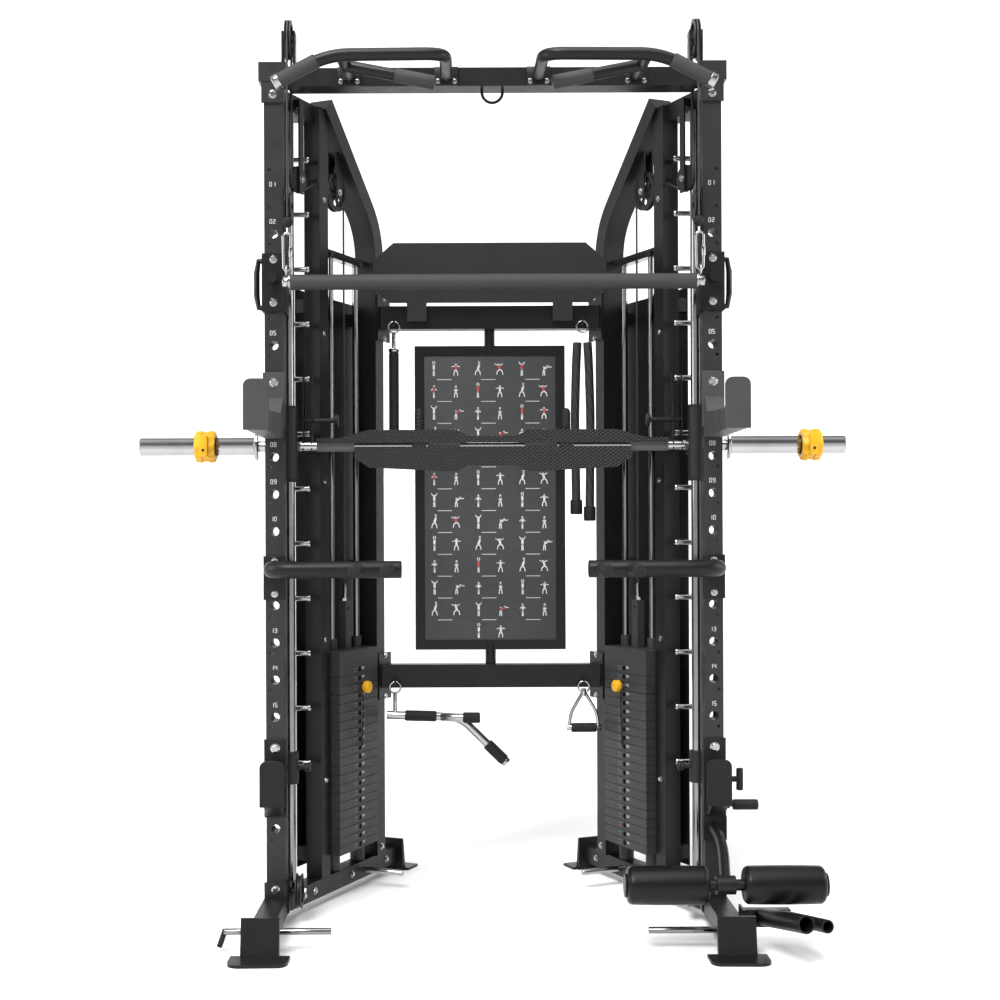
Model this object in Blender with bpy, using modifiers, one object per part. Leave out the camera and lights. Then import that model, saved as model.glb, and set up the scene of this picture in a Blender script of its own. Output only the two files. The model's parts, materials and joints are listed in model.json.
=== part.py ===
"""Smith machine with two cable stacks, built as separate named sub-parts.

Metres, +Z up. The origin is the centre of the footprint, on the floor. The machine faces -Y, and
left means -X. Each side frame runs back from its front upright and turns inwards, so a side point
is given by t (distance back along the side line), w (distance inwards from it) and z.
"""

import math

import bmesh
import bpy
import mathutils

# Driving dimensions.
FRONT_Y = -0.145
UPRIGHT_X = 0.59
UPRIGHT_WIDE = 0.05
UPRIGHT_DEEP = 0.07
UPRIGHT_TOP = 2.267
SIDE_TURN = math.radians(24.0)
GAP = 0.0003
HOLE_FIRST_Z = 0.258
HOLE_PITCH = 0.1
HOLE_COUNT = 17
HOLE_RADIUS = 0.0125
RAIL_X = 0.562
RAIL_Y = -0.035
RAIL_RADIUS = 0.015
BAR_Y = 0.012
BAR_Z = 1.295
BAR_RADIUS = 0.015
SLEEVE_RADIUS = 0.025
SLEEVE_END_X = 0.983
PEG_Y = 0.052
PEG_TOP_Z = 2.1046
PEG_PITCH = 0.1545
PEG_COUNT = 12
POST_T = 0.225
REAR_T = 0.55
STACK_T = (0.262, 0.500)
STACK_HALF = 0.05
STACK_BOTTOM_Z = 0.128
PLATE_PITCH = 0.0256
LOWER_PLATES = 18
LIFTED_PLATES = 3
GUIDE_T = (0.307, 0.459)
GUIDE_RADIUS = 0.009
CABLE_RADIUS = 0.003
CABLE_X = 0.550
CABLE_T = 0.3875
TOP_PULLEY = (-0.115, 2.385, 0.0525)
HIGH_PULLEY = (0.335, 2.045, 0.0525)
TURN_PULLEY = (0.0947, 2.03, 0.035)
TURN_W = 0.0172
LAT_Y = -0.19
LAT_Z = 1.72
BEAM_Y = (0.370, 0.420)
UPPER_BEAM_Z = (1.670, 1.740)
LOWER_BEAM_Z = (0.582, 0.652)
BOARD_Y = 0.395

for old in list(bpy.data.objects):
    bpy.data.objects.remove(old, do_unlink=True)

COLLECTION = bpy.data.collections.new("smith_machine")
bpy.context.scene.collection.children.link(COLLECTION)


def add_material(name, colour, metallic, roughness):
    material = bpy.data.materials.new(name)
    material.use_nodes = True
    shader = material.node_tree.nodes["Principled BSDF"]
    shader.inputs["Base Color"].default_value = (*colour, 1.0)
    shader.inputs["Metallic"].default_value = metallic
    shader.inputs["Roughness"].default_value = roughness
    return material


FINISHES = {
    "coat": ((0.030, 0.030, 0.032), 0.3, 0.42),
    "coat_light": ((0.055, 0.055, 0.058), 0.3, 0.45),
    "chrome": ((0.55, 0.55, 0.56), 1.0, 0.18),
    "plate": ((0.045, 0.046, 0.048), 0.2, 0.55),
    "foam": ((0.018, 0.018, 0.019), 0.0, 0.75),
    "grip": ((0.022, 0.022, 0.023), 0.0, 0.7),
    "yellow": ((0.85, 0.52, 0.03), 0.0, 0.45),
    "nylon": ((0.020, 0.020, 0.021), 0.0, 0.5),
    "board": ((0.07, 0.07, 0.072), 0.0, 0.5),
    "cable": ((0.015, 0.015, 0.016), 0.0, 0.4),
}


def scene_object(name, mesh):
    found = bpy.data.objects.new(name, mesh)
    COLLECTION.objects.link(found)
    return found


def from_bmesh(shape):
    bmesh.ops.recalc_face_normals(shape, faces=shape.faces)
    mesh = bpy.data.meshes.new("shape")
    shape.to_mesh(mesh)
    shape.free()
    return scene_object("shape", mesh)


def side_point(t, w, z):
    """The point on the left side that is t back, w inwards and z up."""
    x = -UPRIGHT_X + t * math.sin(SIDE_TURN) + w * math.cos(SIDE_TURN)
    y = FRONT_Y + 0.035 + t * math.cos(SIDE_TURN) - w * math.sin(SIDE_TURN)
    return mathutils.Vector((x, y, z))


SIDE_U = side_point(1, 0, 0) - side_point(0, 0, 0)
SIDE_N = side_point(0, 1, 0) - side_point(0, 0, 0)
UP = mathutils.Vector((0, 0, 1))


def box(x0, x1, y0, y1, z0, z1):
    shape = bmesh.new()
    centre = mathutils.Vector(((x0 + x1) / 2, (y0 + y1) / 2, (z0 + z1) / 2))
    size = mathutils.Matrix.Diagonal((abs(x1 - x0), abs(y1 - y0), abs(z1 - z0), 1))
    place = mathutils.Matrix.Translation(centre) @ size
    bmesh.ops.create_cube(shape, size=1, matrix=place)
    return from_bmesh(shape)


def side_box(t0, t1, w0, w1, z0, z1):
    shape = bmesh.new()
    centre = side_point((t0 + t1) / 2, (w0 + w1) / 2, (z0 + z1) / 2)
    turn = mathutils.Matrix((SIDE_U, SIDE_N, UP)).transposed().to_4x4()
    size = mathutils.Matrix.Diagonal((abs(t1 - t0), abs(w1 - w0), abs(z1 - z0), 1))
    place = mathutils.Matrix.Translation(centre) @ turn @ size
    bmesh.ops.create_cube(shape, size=1, matrix=place)
    return from_bmesh(shape)


def rod(start, end, radius, sides=12, end_radius=None):
    """A round rod, or a cone if end_radius is given, between two points."""
    start = mathutils.Vector(start)
    end = mathutils.Vector(end)
    along = end - start
    turn = UP.rotation_difference(along).to_matrix().to_4x4()
    place = mathutils.Matrix.Translation((start + end) / 2) @ turn
    shape = bmesh.new()
    bmesh.ops.create_cone(
        shape,
        cap_ends=True,
        segments=sides,
        radius1=radius,
        radius2=radius if end_radius is None else end_radius,
        depth=along.length,
        matrix=place,
    )
    return from_bmesh(shape)


def ball(centre, radius):
    shape = bmesh.new()
    place = mathutils.Matrix.Translation(centre)
    bmesh.ops.create_uvsphere(shape, u_segments=12, v_segments=8, radius=radius, matrix=place)
    return from_bmesh(shape)


def solid_of(curve_object):
    """The curve as a welded mesh."""
    graph = bpy.context.evaluated_depsgraph_get()
    mesh = bpy.data.meshes.new_from_object(curve_object.evaluated_get(graph))
    bpy.data.objects.remove(curve_object, do_unlink=True)
    shape = bmesh.new()
    shape.from_mesh(mesh)
    bpy.data.meshes.remove(mesh)
    bmesh.ops.remove_doubles(shape, verts=shape.verts, dist=0.00002)
    return from_bmesh(shape)


def tube(points, radius, resolution=2, closed=False):
    """A round tube along straight runs between the points."""
    data = bpy.data.curves.new("path", "CURVE")
    data.dimensions = "3D"
    data.bevel_depth = radius
    data.bevel_resolution = resolution
    data.use_fill_caps = not closed
    spline = data.splines.new("POLY")
    spline.points.add(len(points) - 1)
    for slot, point in zip(spline.points, points):
        slot.co = (*point, 1)
    spline.use_cyclic_u = closed
    found = bpy.data.objects.new("path", data)
    COLLECTION.objects.link(found)
    bpy.context.view_layer.update()
    return solid_of(found)


def plate(outline, origin, across, upwards, thickness):
    """A flat plate: outline in the plane of across and upwards, half the thickness to each side."""
    data = bpy.data.curves.new("outline", "CURVE")
    data.dimensions = "2D"
    data.fill_mode = "BOTH"
    data.extrude = thickness / 2
    spline = data.splines.new("POLY")
    spline.points.add(len(outline) - 1)
    for slot, (x, y) in zip(spline.points, outline):
        slot.co = (x, y, 0, 1)
    spline.use_cyclic_u = True
    found = bpy.data.objects.new("outline", data)
    COLLECTION.objects.link(found)
    bpy.context.view_layer.update()
    solid = solid_of(found)
    across = mathutils.Vector(across)
    upwards = mathutils.Vector(upwards)
    axes = mathutils.Matrix((across, upwards, across.cross(upwards))).transposed()
    solid.data.transform(mathutils.Matrix.Translation(origin) @ axes.to_4x4())
    return solid


def turned(profile, centre, axis, steps=16):
    """The profile, as (radius, distance along the axis) pairs, turned round the axis."""
    shape = bmesh.new()
    points = [shape.verts.new((radius, 0, along)) for radius, along in profile]
    for first, second in zip(points, points[1:]):
        shape.edges.new((first, second))
    mesh = bpy.data.meshes.new("profile")
    shape.to_mesh(mesh)
    shape.free()
    found = scene_object("profile", mesh)
    screw = found.modifiers.new("turn", "SCREW")
    screw.steps = steps
    screw.render_steps = steps
    screw.use_merge_vertices = True
    screw.merge_threshold = 0.00001
    screw.use_normal_calculate = True
    keep_modifiers(found)
    turn = UP.rotation_difference(mathutils.Vector(axis)).to_matrix().to_4x4()
    found.data.transform(mathutils.Matrix.Translation(centre) @ turn)
    shape = bmesh.new()
    shape.from_mesh(found.data)
    bpy.data.objects.remove(found, do_unlink=True)
    bmesh.ops.remove_doubles(shape, verts=shape.verts, dist=0.00001)
    return from_bmesh(shape)


def keep_modifiers(found):
    """Turns the modifiers of an object into mesh."""
    bpy.context.view_layer.update()
    graph = bpy.context.evaluated_depsgraph_get()
    mesh = bpy.data.meshes.new_from_object(found.evaluated_get(graph))
    found.modifiers.clear()
    found.data = mesh


def combine(operation, base, others):
    """The base with all the others added to it or cut from it."""
    if not others:
        return base
    group = bpy.data.collections.new("others")
    bpy.context.scene.collection.children.link(group)
    for other in others:
        group.objects.link(other)
    modifier = base.modifiers.new(operation, "BOOLEAN")
    modifier.operation = operation
    modifier.operand_type = "COLLECTION"
    modifier.collection = group
    modifier.solver = "EXACT"
    keep_modifiers(base)
    for other in others:
        bpy.data.objects.remove(other, do_unlink=True)
    bpy.data.collections.remove(group)
    return base


def fuse(pieces, cutters=()):
    solid = combine("UNION", pieces[0], list(pieces[1:]))
    return combine("DIFFERENCE", solid, list(cutters))


def mirrored(source):
    """A copy of the solid on the other side of the middle plane."""
    shape = bmesh.new()
    shape.from_mesh(source.data)
    bmesh.ops.scale(shape, vec=(-1, 1, 1), verts=shape.verts)
    bmesh.ops.reverse_faces(shape, faces=shape.faces)
    return from_bmesh(shape)


def name_part(solid, name, finish, origin=(0, 0, 0)):
    """Names a finished part, gives it its material and puts its origin at the given point."""
    solid.name = name
    solid.data.name = name
    solid.data.materials.clear()
    colour, metallic, roughness = FINISHES[finish]
    solid.data.materials.append(add_material(name + "_finish", colour, metallic, roughness))
    solid.data.transform(mathutils.Matrix.Translation(-mathutils.Vector(origin)))
    solid.location = origin
    return solid


def name_pair(solid, name, finish, origin=(0, 0, 0)):
    """Keeps the left part and makes its mirror image the right part."""
    other = mirrored(solid)
    name_part(other, "right_" + name, finish, (-origin[0], origin[1], origin[2]))
    return name_part(solid, "left_" + name, finish, origin)


def arc(centre, radius, start, end, count):
    """Points on a circle in a plane, from the start angle to the end angle in degrees."""
    found = []
    for step in range(count + 1):
        angle = math.radians(start + (end - start) * step / count)
        across = centre[0] + radius * math.cos(angle)
        found.append((across, centre[1] + radius * math.sin(angle)))
    return found


def pulley(centre, axis, radius, bore, steps=16):
    """A grooved pulley wheel whose cable lies at the given radius, with a bore."""
    rim = radius + 0.0025
    floor = radius - 0.0036
    profile = [
        (bore, 0.008),
        (rim, 0.008),
        (rim, 0.0055),
        (floor, 0.0036),
        (floor, -0.0036),
        (rim, -0.0055),
        (rim, -0.008),
        (bore, -0.008),
        (bore, 0.008),
    ]
    return turned(profile, centre, axis, steps)


def fixed_pulley(centre, axis, radius, axle, half, low, high):
    """A grooved wheel in one piece with its axle, which runs from low to high along the axis."""
    rim = radius + 0.0025
    floor = radius - 0.0036
    profile = [
        (0, high),
        (axle, high),
        (axle, half),
        (rim, half),
        (rim, half - 0.0015),
        (floor, 0.0036),
        (floor, -0.0036),
        (rim, 0.0015 - half),
        (rim, -half),
        (axle, -half),
        (axle, low),
        (0, low),
    ]
    return turned(profile, centre, axis)


def make_base(side):
    """The floor frame of one side: leg, side tube, feet, band pegs and low pulley bracket."""
    foot = [(-0.480, 0.0), (-0.462, 0.0), (-0.452, 0.1), (-0.460, 0.1)]
    heel = [(0.672, 0.1), (0.680, 0.1), (0.694, 0.0), (0.676, 0.0)]
    flange = arc((0, -0.515), 0.03, 180, 360, 8)
    flange = [(x + (0.044 if x > 0 else -0.044), y) for x, y in flange]
    flange = flange + [(0.074, -0.462), (-0.074, -0.462)]
    centre = side_point(0, 0, 0)
    pieces = [
        box(-0.62, -0.56, -0.458, -0.065, 0.025, 0.075),
        side_box(0.03, 0.68, -0.025, 0.025, 0.0251, 0.0749),
        plate(flange, (-UPRIGHT_X, 0, 0.004), (1, 0, 0), (0, 1, 0), 0.008),
        plate(foot, (-UPRIGHT_X, 0, 0), (0, 1, 0), (0, 0, 1), 0.096),
        side_box(0.684, 0.7505, -0.06, 0.06, 0, 0.008),
        plate(heel, centre, SIDE_U, UP, 0.09),
        box(-0.600, -0.548, -0.060, 0.072, 0.074, 0.081),
        rod(side_point(0.45, 0.01, 0.05), side_point(0.45, 0.155, 0.05), 0.008),
        box(-0.562, -0.556, -0.140, -0.090, 0.03, 0.112),
        rod((-0.559, -0.115, 0.085), (-0.5175, -0.115, 0.085), 0.006, 8),
        rod((-0.5215, -0.115, 0.085), (-0.5165, -0.115, 0.085), 0.012, 8),
    ]
    if side == "left":
        pieces.append(rod((-0.694, -0.395, 0.05), (-0.42, -0.395, 0.05), 0.008))
        pieces.append(rod((-0.688, -0.395, 0.052), (-0.702, -0.395, 0.012), 0.0075, 8))
    else:
        pieces.append(rod((-0.632, -0.395, 0.05), (-0.38, -0.395, 0.05), 0.008))
    return fuse(pieces)


def make_upright():
    """A front upright with its row of holes, its foot bracket and its top cap."""
    x = -UPRIGHT_X
    pieces = [
        box(x - 0.025, x + 0.025, FRONT_Y, FRONT_Y + UPRIGHT_DEEP, 0.0753, UPRIGHT_TOP + 0.01),
        box(x - 0.0305, x + 0.0305, FRONT_Y - 0.006, FRONT_Y + 0.001, 0.0754, 0.115),
        box(x - 0.0385, x + 0.0385, FRONT_Y - 0.008, -0.067, UPRIGHT_TOP, 2.318),
        box(x - 0.031, x + 0.031, FRONT_Y - 0.006, FRONT_Y + 0.001, 2.21, 2.268),
    ]
    holes = []
    for step in range(HOLE_COUNT):
        z = HOLE_FIRST_Z + HOLE_PITCH * step
        holes.append(rod((x, -0.2, z), (x, 0.0, z), HOLE_RADIUS, 10))
        z = z - 0.028
        holes.append(rod((x - 0.011, -0.2, z), (x - 0.011, 0.0, z), 0.005, 6))
    for z in (1.930, 2.030):
        holes.append(rod((x - 0.011, -0.2, z), (x - 0.011, 0.0, z), 0.005, 6))
    return fuse(pieces, holes)


def make_top_beam():
    """The top beam with its ring and the fork plates of the two top pulleys."""
    ring = [(-0.028, 2.262), (-0.028, 2.246)]
    ring = ring + arc((0, 2.246), 0.028, 180, 360, 12) + [(0.028, 2.262)]
    pieces = [
        box(-0.5512, 0.5512, FRONT_Y + 0.0005, -0.0755, 2.254, 2.304),
        tube([(x, -0.11, z) for x, z in ring], 0.004),
    ]
    y, z = TOP_PULLEY[:2]
    for side in (-1, 1):
        inner = side * (CABLE_X - 0.0125)
        outer = side * (CABLE_X + 0.0125)
        axle = side * (CABLE_X + 0.015), side * (CABLE_X - 0.015)
        pieces.append(rod((axle[0], y, z), (axle[1], y, z), 0.006, 8))
        low, high = sorted((inner, inner - side * 0.006))
        pieces.append(box(low, high, y - 0.02, y + 0.02, 2.300, 2.408))
        low, high = sorted((outer, outer + side * 0.006))
        pieces.append(box(low, high, y - 0.02, y + 0.02, 2.3185, 2.408))
    return fuse(pieces)


def make_rear_frame():
    """The stack post, the curved rear upright, the top arm and the guide pulley of one side."""
    half = 0.0255
    bend = math.radians(45)
    radius = 0.20
    straight = 1.882
    centre = (REAR_T - radius, straight)
    outer = arc(centre, radius + half, 0, 45, 8)
    inner = arc(centre, radius - half, 45, 0, 8)
    reach = (centre[0] + radius * math.cos(bend), straight + radius * math.sin(bend))
    run = (reach[0] - 0.240) / math.cos(bend)
    step = (-math.cos(bend) * run, math.sin(bend) * run)
    outer_end = (outer[-1][0] + step[0], outer[-1][1] + step[1])
    inner_end = (inner[0][0] + step[0], inner[0][1] + step[1])
    outline = [(REAR_T + half, 0.0753)] + outer + [outer_end, inner_end] + inner
    outline = outline + [(REAR_T - half, 0.0753)]
    origin = side_point(0, 0, 0)
    arm = [(-0.035, 0.026), (0.005, 0.044), (0.005, 0.222), (-0.035, 0.222)]
    arm = [side_point(t, w, 0).xy for w, t in arm]
    z = HIGH_PULLEY[1]
    pieces = [
        plate(outline, origin, SIDE_U, UP, 0.07),
        side_box(POST_T - 0.025, POST_T + 0.025, -0.025, 0.025, 0.0753, 2.26),
        plate(arm, (0, 0, 2.241), (1, 0, 0), (0, 1, 0), 0.05),
        box(-0.600, -0.545, -0.055, 0.072, 2.2145, 2.222),
        side_box(POST_T, REAR_T, -0.034, 0.012, 1.8625, 1.8705),
        rod(side_point(0.335, -0.018, z), side_point(0.335, 0.018, z), 0.006, 8),
        side_box(0.318, 0.352, 0.011, 0.016, z - 0.02, 2.17),
        side_box(0.318, 0.352, -0.016, -0.011, z - 0.02, 2.17),
        side_box(0.084, 0.106, 0.0240, 0.0290, 1.99, 2.25),
        side_box(0.084, 0.106, 0.0010, 0.0288, 2.226, 2.249),
    ]
    t, z = TURN_PULLEY[:2]
    pieces.append(fixed_pulley(side_point(t, TURN_W, z), SIDE_N, TURN_PULLEY[2], 0.006, 0.0058, -0.0062, 0.0090))
    cutters = [
        side_box(0.18, 0.27, -0.004, 0.018, 2.03, 2.105),
        rod(side_point(CABLE_T, 0, 1.85), side_point(CABLE_T, 0, 1.88), 0.012, 8),
    ]
    return fuse(pieces, cutters)


def make_rail():
    """A polished guide rail of the bar with its foot flange."""
    bottom = (-RAIL_X, RAIL_Y, 0.0813)
    pieces = [
        rod(bottom, (-RAIL_X, RAIL_Y, 2.2142), RAIL_RADIUS, 16),
        rod(bottom, (-RAIL_X, RAIL_Y, 0.096), 0.024, 16),
    ]
    return fuse(pieces)


def make_catch_post():
    """The flat post that carries the row of catch pegs."""
    pieces = [box(-0.592, -0.562, PEG_Y - 0.008, PEG_Y + 0.012, 0.0813, 2.2142)]
    for step in range(PEG_COUNT):
        z = PEG_TOP_Z - PEG_PITCH * step
        pieces.append(rod((-0.570, PEG_Y, z), (-0.515, PEG_Y, z), 0.0072, 8))
        pieces.append(rod((-0.519, PEG_Y, z), (-0.513, PEG_Y, z), 0.0092, 8))
    return fuse(pieces)


def make_crossmember(height, lug_z, name, finish):
    """A rear crossmember with mitred ends, bolted end flanges and two hanging lugs."""
    ends = []
    for y in BEAM_Y:
        t = (y + 0.11 + 0.041 * math.sin(SIDE_TURN)) / math.cos(SIDE_TURN)
        ends.append(side_point(t, 0.041, 0).xy)
    outline = [ends[0], ends[1], (-ends[1][0], ends[1][1]), (-ends[0][0], ends[0][1])]
    middle = (height[0] + height[1]) / 2
    tall = height[1] - height[0]
    flange = side_box(0.527, 0.607, 0.0353, 0.0415, middle - 0.07, middle + 0.07)
    cutters = []
    pieces = [
        plate(outline, (0, 0, middle), (1, 0, 0), (0, 1, 0), tall),
        flange,
        mirrored(flange),
    ]
    for x in (-0.29, 0.28):
        pieces.append(box(x - 0.003, x + 0.003, 0.343, 0.371, lug_z - 0.012, lug_z + 0.012))
        cutters.append(rod((x - 0.01, 0.352, lug_z), (x + 0.01, 0.352, lug_z), 0.0055, 8))
    cutters.append(rod((0, BOARD_Y, middle - 0.01), (0, BOARD_Y, middle + 0.06), 0.0103, 12))
    cutters.append(rod((0, BOARD_Y, middle - 0.06), (0, BOARD_Y, middle + 0.01), 0.0103, 12))
    return name_part(fuse(pieces, cutters), name, finish)


def make_header():
    """The plain header panel, on two tabs bolted to the upper crossmember."""
    outline = [(-0.352, 1.79), (-0.30, 1.745), (0.30, 1.745), (0.352, 1.79)]
    outline = outline + [(0.352, 1.872), (0.29, 1.926), (-0.29, 1.926), (-0.352, 1.872)]
    y = BEAM_Y[0] - 0.028
    pieces = [plate(outline, (0, y, 0), (1, 0, 0), (0, 0, 1), 0.004)]
    for x in (-0.22, 0.22):
        pieces.append(box(x - 0.03, x + 0.03, y - 0.002, y + 0.002, 1.69, 1.76))
        pieces.append(box(x - 0.03, x + 0.03, y, BEAM_Y[0] - GAP, 1.69, 1.735))
    return name_part(fuse(pieces), "header_panel", "coat")


def smooth(points, rounds):
    """The path with each corner cut off a few times, so that the bends are round."""
    path = [mathutils.Vector(point) for point in points]
    for _ in range(rounds):
        cut = [path[0]]
        for first, second in zip(path, path[1:]):
            cut.append(first.lerp(second, 0.25))
            cut.append(first.lerp(second, 0.75))
        path = cut + [path[-1]]
    return path


def make_pull_up_handle():
    """The forward pull-up handle of one side, with its outer grip and its inner grip."""
    beam = FRONT_Y - 0.0003
    main = [
        (-0.124, beam - 0.003, 2.279),
        (-0.124, -0.350, 2.262),
        (-0.135, -0.395, 2.258),
        (-0.180, -0.400, 2.257),
        (-0.400, -0.400, 2.257),
        (-0.450, -0.395, 2.240),
        (-0.558, -0.385, 2.190),
    ]
    stub = [(-0.385, beam - 0.003, 2.279), (-0.385, -0.400, 2.257)]
    inner = [
        (-0.385, -0.300, 2.264),
        (-0.355, -0.308, 2.232),
        (-0.310, -0.315, 2.213),
        (-0.150, -0.315, 2.210),
    ]
    grip_end = mathutils.Vector(main[-1])
    grip_start = mathutils.Vector(main[-2]).lerp(grip_end, 0.12)
    pieces = [
        tube(smooth(main, 1), 0.016),
        tube(stub, 0.016),
        tube(smooth(inner, 1), 0.0155),
        rod(grip_start, grip_end, 0.019, 12),
        rod((-0.275, -0.315, 2.2121), (-0.152, -0.315, 2.21), 0.018, 12),
        box(-0.156, -0.092, beam - 0.006, beam, 2.254, 2.304),
        box(-0.417, -0.353, beam - 0.006, beam, 2.254, 2.304),
    ]
    return fuse(pieces)


def make_stack_guides():
    """The two guide rods of one stack, joined by the yoke at their top."""
    top = 1.8622
    pieces = [side_box(0.290, 0.476, -0.014, 0.014, top - 0.014, top)]
    for t in GUIDE_T:
        pieces.append(rod(side_point(t, 0, 0.0753), side_point(t, 0, top - 0.005), GUIDE_RADIUS, 16))
    hole = rod(side_point(CABLE_T, 0, top - 0.05), side_point(CABLE_T, 0, top + 0.05), 0.008, 8)
    return fuse(pieces, [hole])


def plates(bottom, count, gap):
    """A pile of stack plates: a core with the plates standing out from it."""
    t0, t1 = STACK_T
    top = bottom + count * PLATE_PITCH
    half = STACK_HALF - 0.0015
    pieces = [side_box(t0 + 0.0015, t1 - 0.0015, -half, half, bottom + 0.002, top - gap - 0.001)]
    for step in range(count):
        z = bottom + step * PLATE_PITCH
        tall = PLATE_PITCH - 0.0016
        pieces.append(side_box(t0, t1, -STACK_HALF, STACK_HALF, z, z + tall))
    return pieces


def rod_holes(low, high, radius):
    return [rod(side_point(t, 0, low), side_point(t, 0, high), radius, 16) for t in GUIDE_T]


def make_lower_plates():
    """The plates that stay down, on two rubber feet."""
    pieces = plates(STACK_BOTTOM_Z, LOWER_PLATES, 0.001)
    for t in GUIDE_T:
        low = side_point(t, 0, 0.0753)
        pieces.append(rod(low, side_point(t, 0, STACK_BOTTOM_Z + 0.004), 0.022, 12))
    return fuse(pieces, rod_holes(0.05, 0.65, GUIDE_RADIUS + 0.0006))


def make_lifted_plates():
    """The head plate, the chosen plates under it and the stem that the cable pulls."""
    t0, t1 = STACK_T
    bottom = STACK_BOTTOM_Z + LOWER_PLATES * PLATE_PITCH
    top = bottom + LIFTED_PLATES * PLATE_PITCH
    pieces = plates(bottom, LIFTED_PLATES, 0.001)
    pieces.append(side_box(t0, t1, -STACK_HALF, STACK_HALF, top - 0.003, 0.712))
    pieces.append(side_box(CABLE_T - 0.016, CABLE_T + 0.016, -0.012, 0.012, 0.710, 0.852))
    for t in GUIDE_T:
        pieces.append(rod(side_point(t, 0, 0.710), side_point(t, 0, 0.745), 0.015, 12))
    cutters = rod_holes(0.55, 0.80, GUIDE_RADIUS + 0.0006)
    pin = side_point(0.385, -0.03, 0.602), side_point(0.385, 0.08, 0.602)
    cutters.append(rod(pin[0], pin[1], 0.0056, 8))
    cutters.append(rod(side_point(CABLE_T, -0.02, 0.83), side_point(CABLE_T, 0.02, 0.83), 0.006, 8))
    return fuse(pieces, cutters)


def make_selector_pin():
    pieces = [
        rod(side_point(0.385, -0.028, 0.602), side_point(0.385, 0.058, 0.602), 0.005, 8),
        rod(side_point(0.385, 0.0525, 0.602), side_point(0.385, 0.066, 0.602), 0.010, 12),
        rod(side_point(0.385, 0.064, 0.602), side_point(0.385, 0.086, 0.602), 0.0175, 12),
    ]
    return fuse(pieces)


def make_shroud():
    """The outer cover sheet of a stack, on brackets to the post and the rear upright."""
    pieces = [side_box(0.205, 0.570, -0.060, -0.057, 0.10, 1.75)]
    for z in (0.14, 0.95, 1.70):
        pieces.append(side_box(0.207, 0.243, -0.058, -0.0253, z - 0.02, z + 0.02))
        pieces.append(side_box(0.532, 0.568, -0.058, -0.0353, z - 0.02, z + 0.02))
    return fuse(pieces)


def mount_plate(low, high, half=0.030):
    """The flat plate of an attachment against the front face of an upright."""
    face = FRONT_Y - GAP
    return box(-UPRIGHT_X - half, -UPRIGHT_X + half, face - 0.006, face, low, high)


def make_dip_handle():
    """A dip handle: an elbow from the upright, an inward bar and two forward grips."""
    z = 0.957
    path = [(-UPRIGHT_X, -0.149, z), (-UPRIGHT_X, -0.245, z), (-0.245, -0.245, z)]
    pieces = [
        mount_plate(0.874, 0.992),
        tube(smooth([path[0], (-UPRIGHT_X, -0.180, z), path[1], (-0.53, -0.245, z), path[2]], 1), 0.023),
        rod((-0.357, -0.245, z), (-0.357, -0.300, z), 0.013),
        rod((-0.357, -0.285, z), (-0.357, -0.425, z), 0.0165),
        rod((-0.277, -0.245, z), (-0.277, -0.300, z), 0.013),
        rod((-0.277, -0.285, z), (-0.277, -0.425, z), 0.0165),
    ]
    return fuse(pieces)


def lip(y, low, high, half):
    """The upright front plate of a saddle, with rounded top corners."""
    corner = 0.018
    outline = [(-half, low), (half, low)]
    outline = outline + arc((half - corner, high - corner), corner, 0, 90, 4)
    outline = outline + arc((-half + corner, high - corner), corner, 90, 180, 4)
    return plate(outline, (-UPRIGHT_X, y, 0), (1, 0, 0), (0, 0, 1), 0.008)


def make_spotter_arm():
    """A long spotter arm with its mounting plate and its end lip."""
    arm = [(-0.148, 1.307), (-0.148, 1.42), (-0.200, 1.372), (-0.502, 1.358), (-0.502, 1.307)]
    pieces = [
        mount_plate(1.335, 1.485),
        plate(arm, (-UPRIGHT_X, 0, 0), (0, 1, 0), (0, 0, 1), 0.05),
        lip(-0.505, 1.307, 1.433, 0.0315),
    ]
    return fuse(pieces)


def make_j_cup():
    """A short saddle hook with its mounting plate and its lip."""
    arm = [(-0.148, 0.300), (-0.148, 0.372), (-0.224, 0.372), (-0.224, 0.330), (-0.180, 0.300)]
    pieces = [
        mount_plate(0.29, 0.50),
        plate(arm, (-UPRIGHT_X, 0, 0), (0, 1, 0), (0, 0, 1), 0.044),
        lip(-0.222, 0.330, 0.452, 0.033),
    ]
    return fuse(pieces)


def make_roller_holder():
    """The leg roller bracket of the right upright, made on the left and mirrored."""
    axle = (-0.425, 0.170)
    pieces = [
        mount_plate(0.225, 0.289, 0.0305),
        tube(smooth([(-0.585, -0.148, 0.26), (-0.585, -0.30, 0.25), (-0.569, *axle)], 2), 0.014),
        rod((-0.318, *axle), (-0.820, *axle), 0.0145, 12),
        rod((-0.545, *axle), (-0.593, *axle), 0.024, 12),
        rod((-0.316, *axle), (-0.3205, *axle), 0.030, 12),
        rod((-0.8185, *axle), (-0.823, *axle), 0.030, 12),
        box(-0.6215, -0.6153, -0.1440, -0.080, 0.225, 0.41),
        box(-0.6215, -0.6153, -0.1513, -0.140, 0.226, 0.2885),
        rod((-0.618, -0.110, 0.382), (-0.666, -0.110, 0.382), 0.008, 8),
        rod((-0.664, -0.110, 0.353), (-0.664, -0.110, 0.411), 0.009, 8),
        rod((-0.618, -0.110, 0.313), (-0.665, -0.110, 0.313), 0.006, 8),
        rod((-0.645, -0.110, 0.313), (-0.712, -0.110, 0.313), 0.0135, 12),
    ]
    return fuse(pieces)


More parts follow.
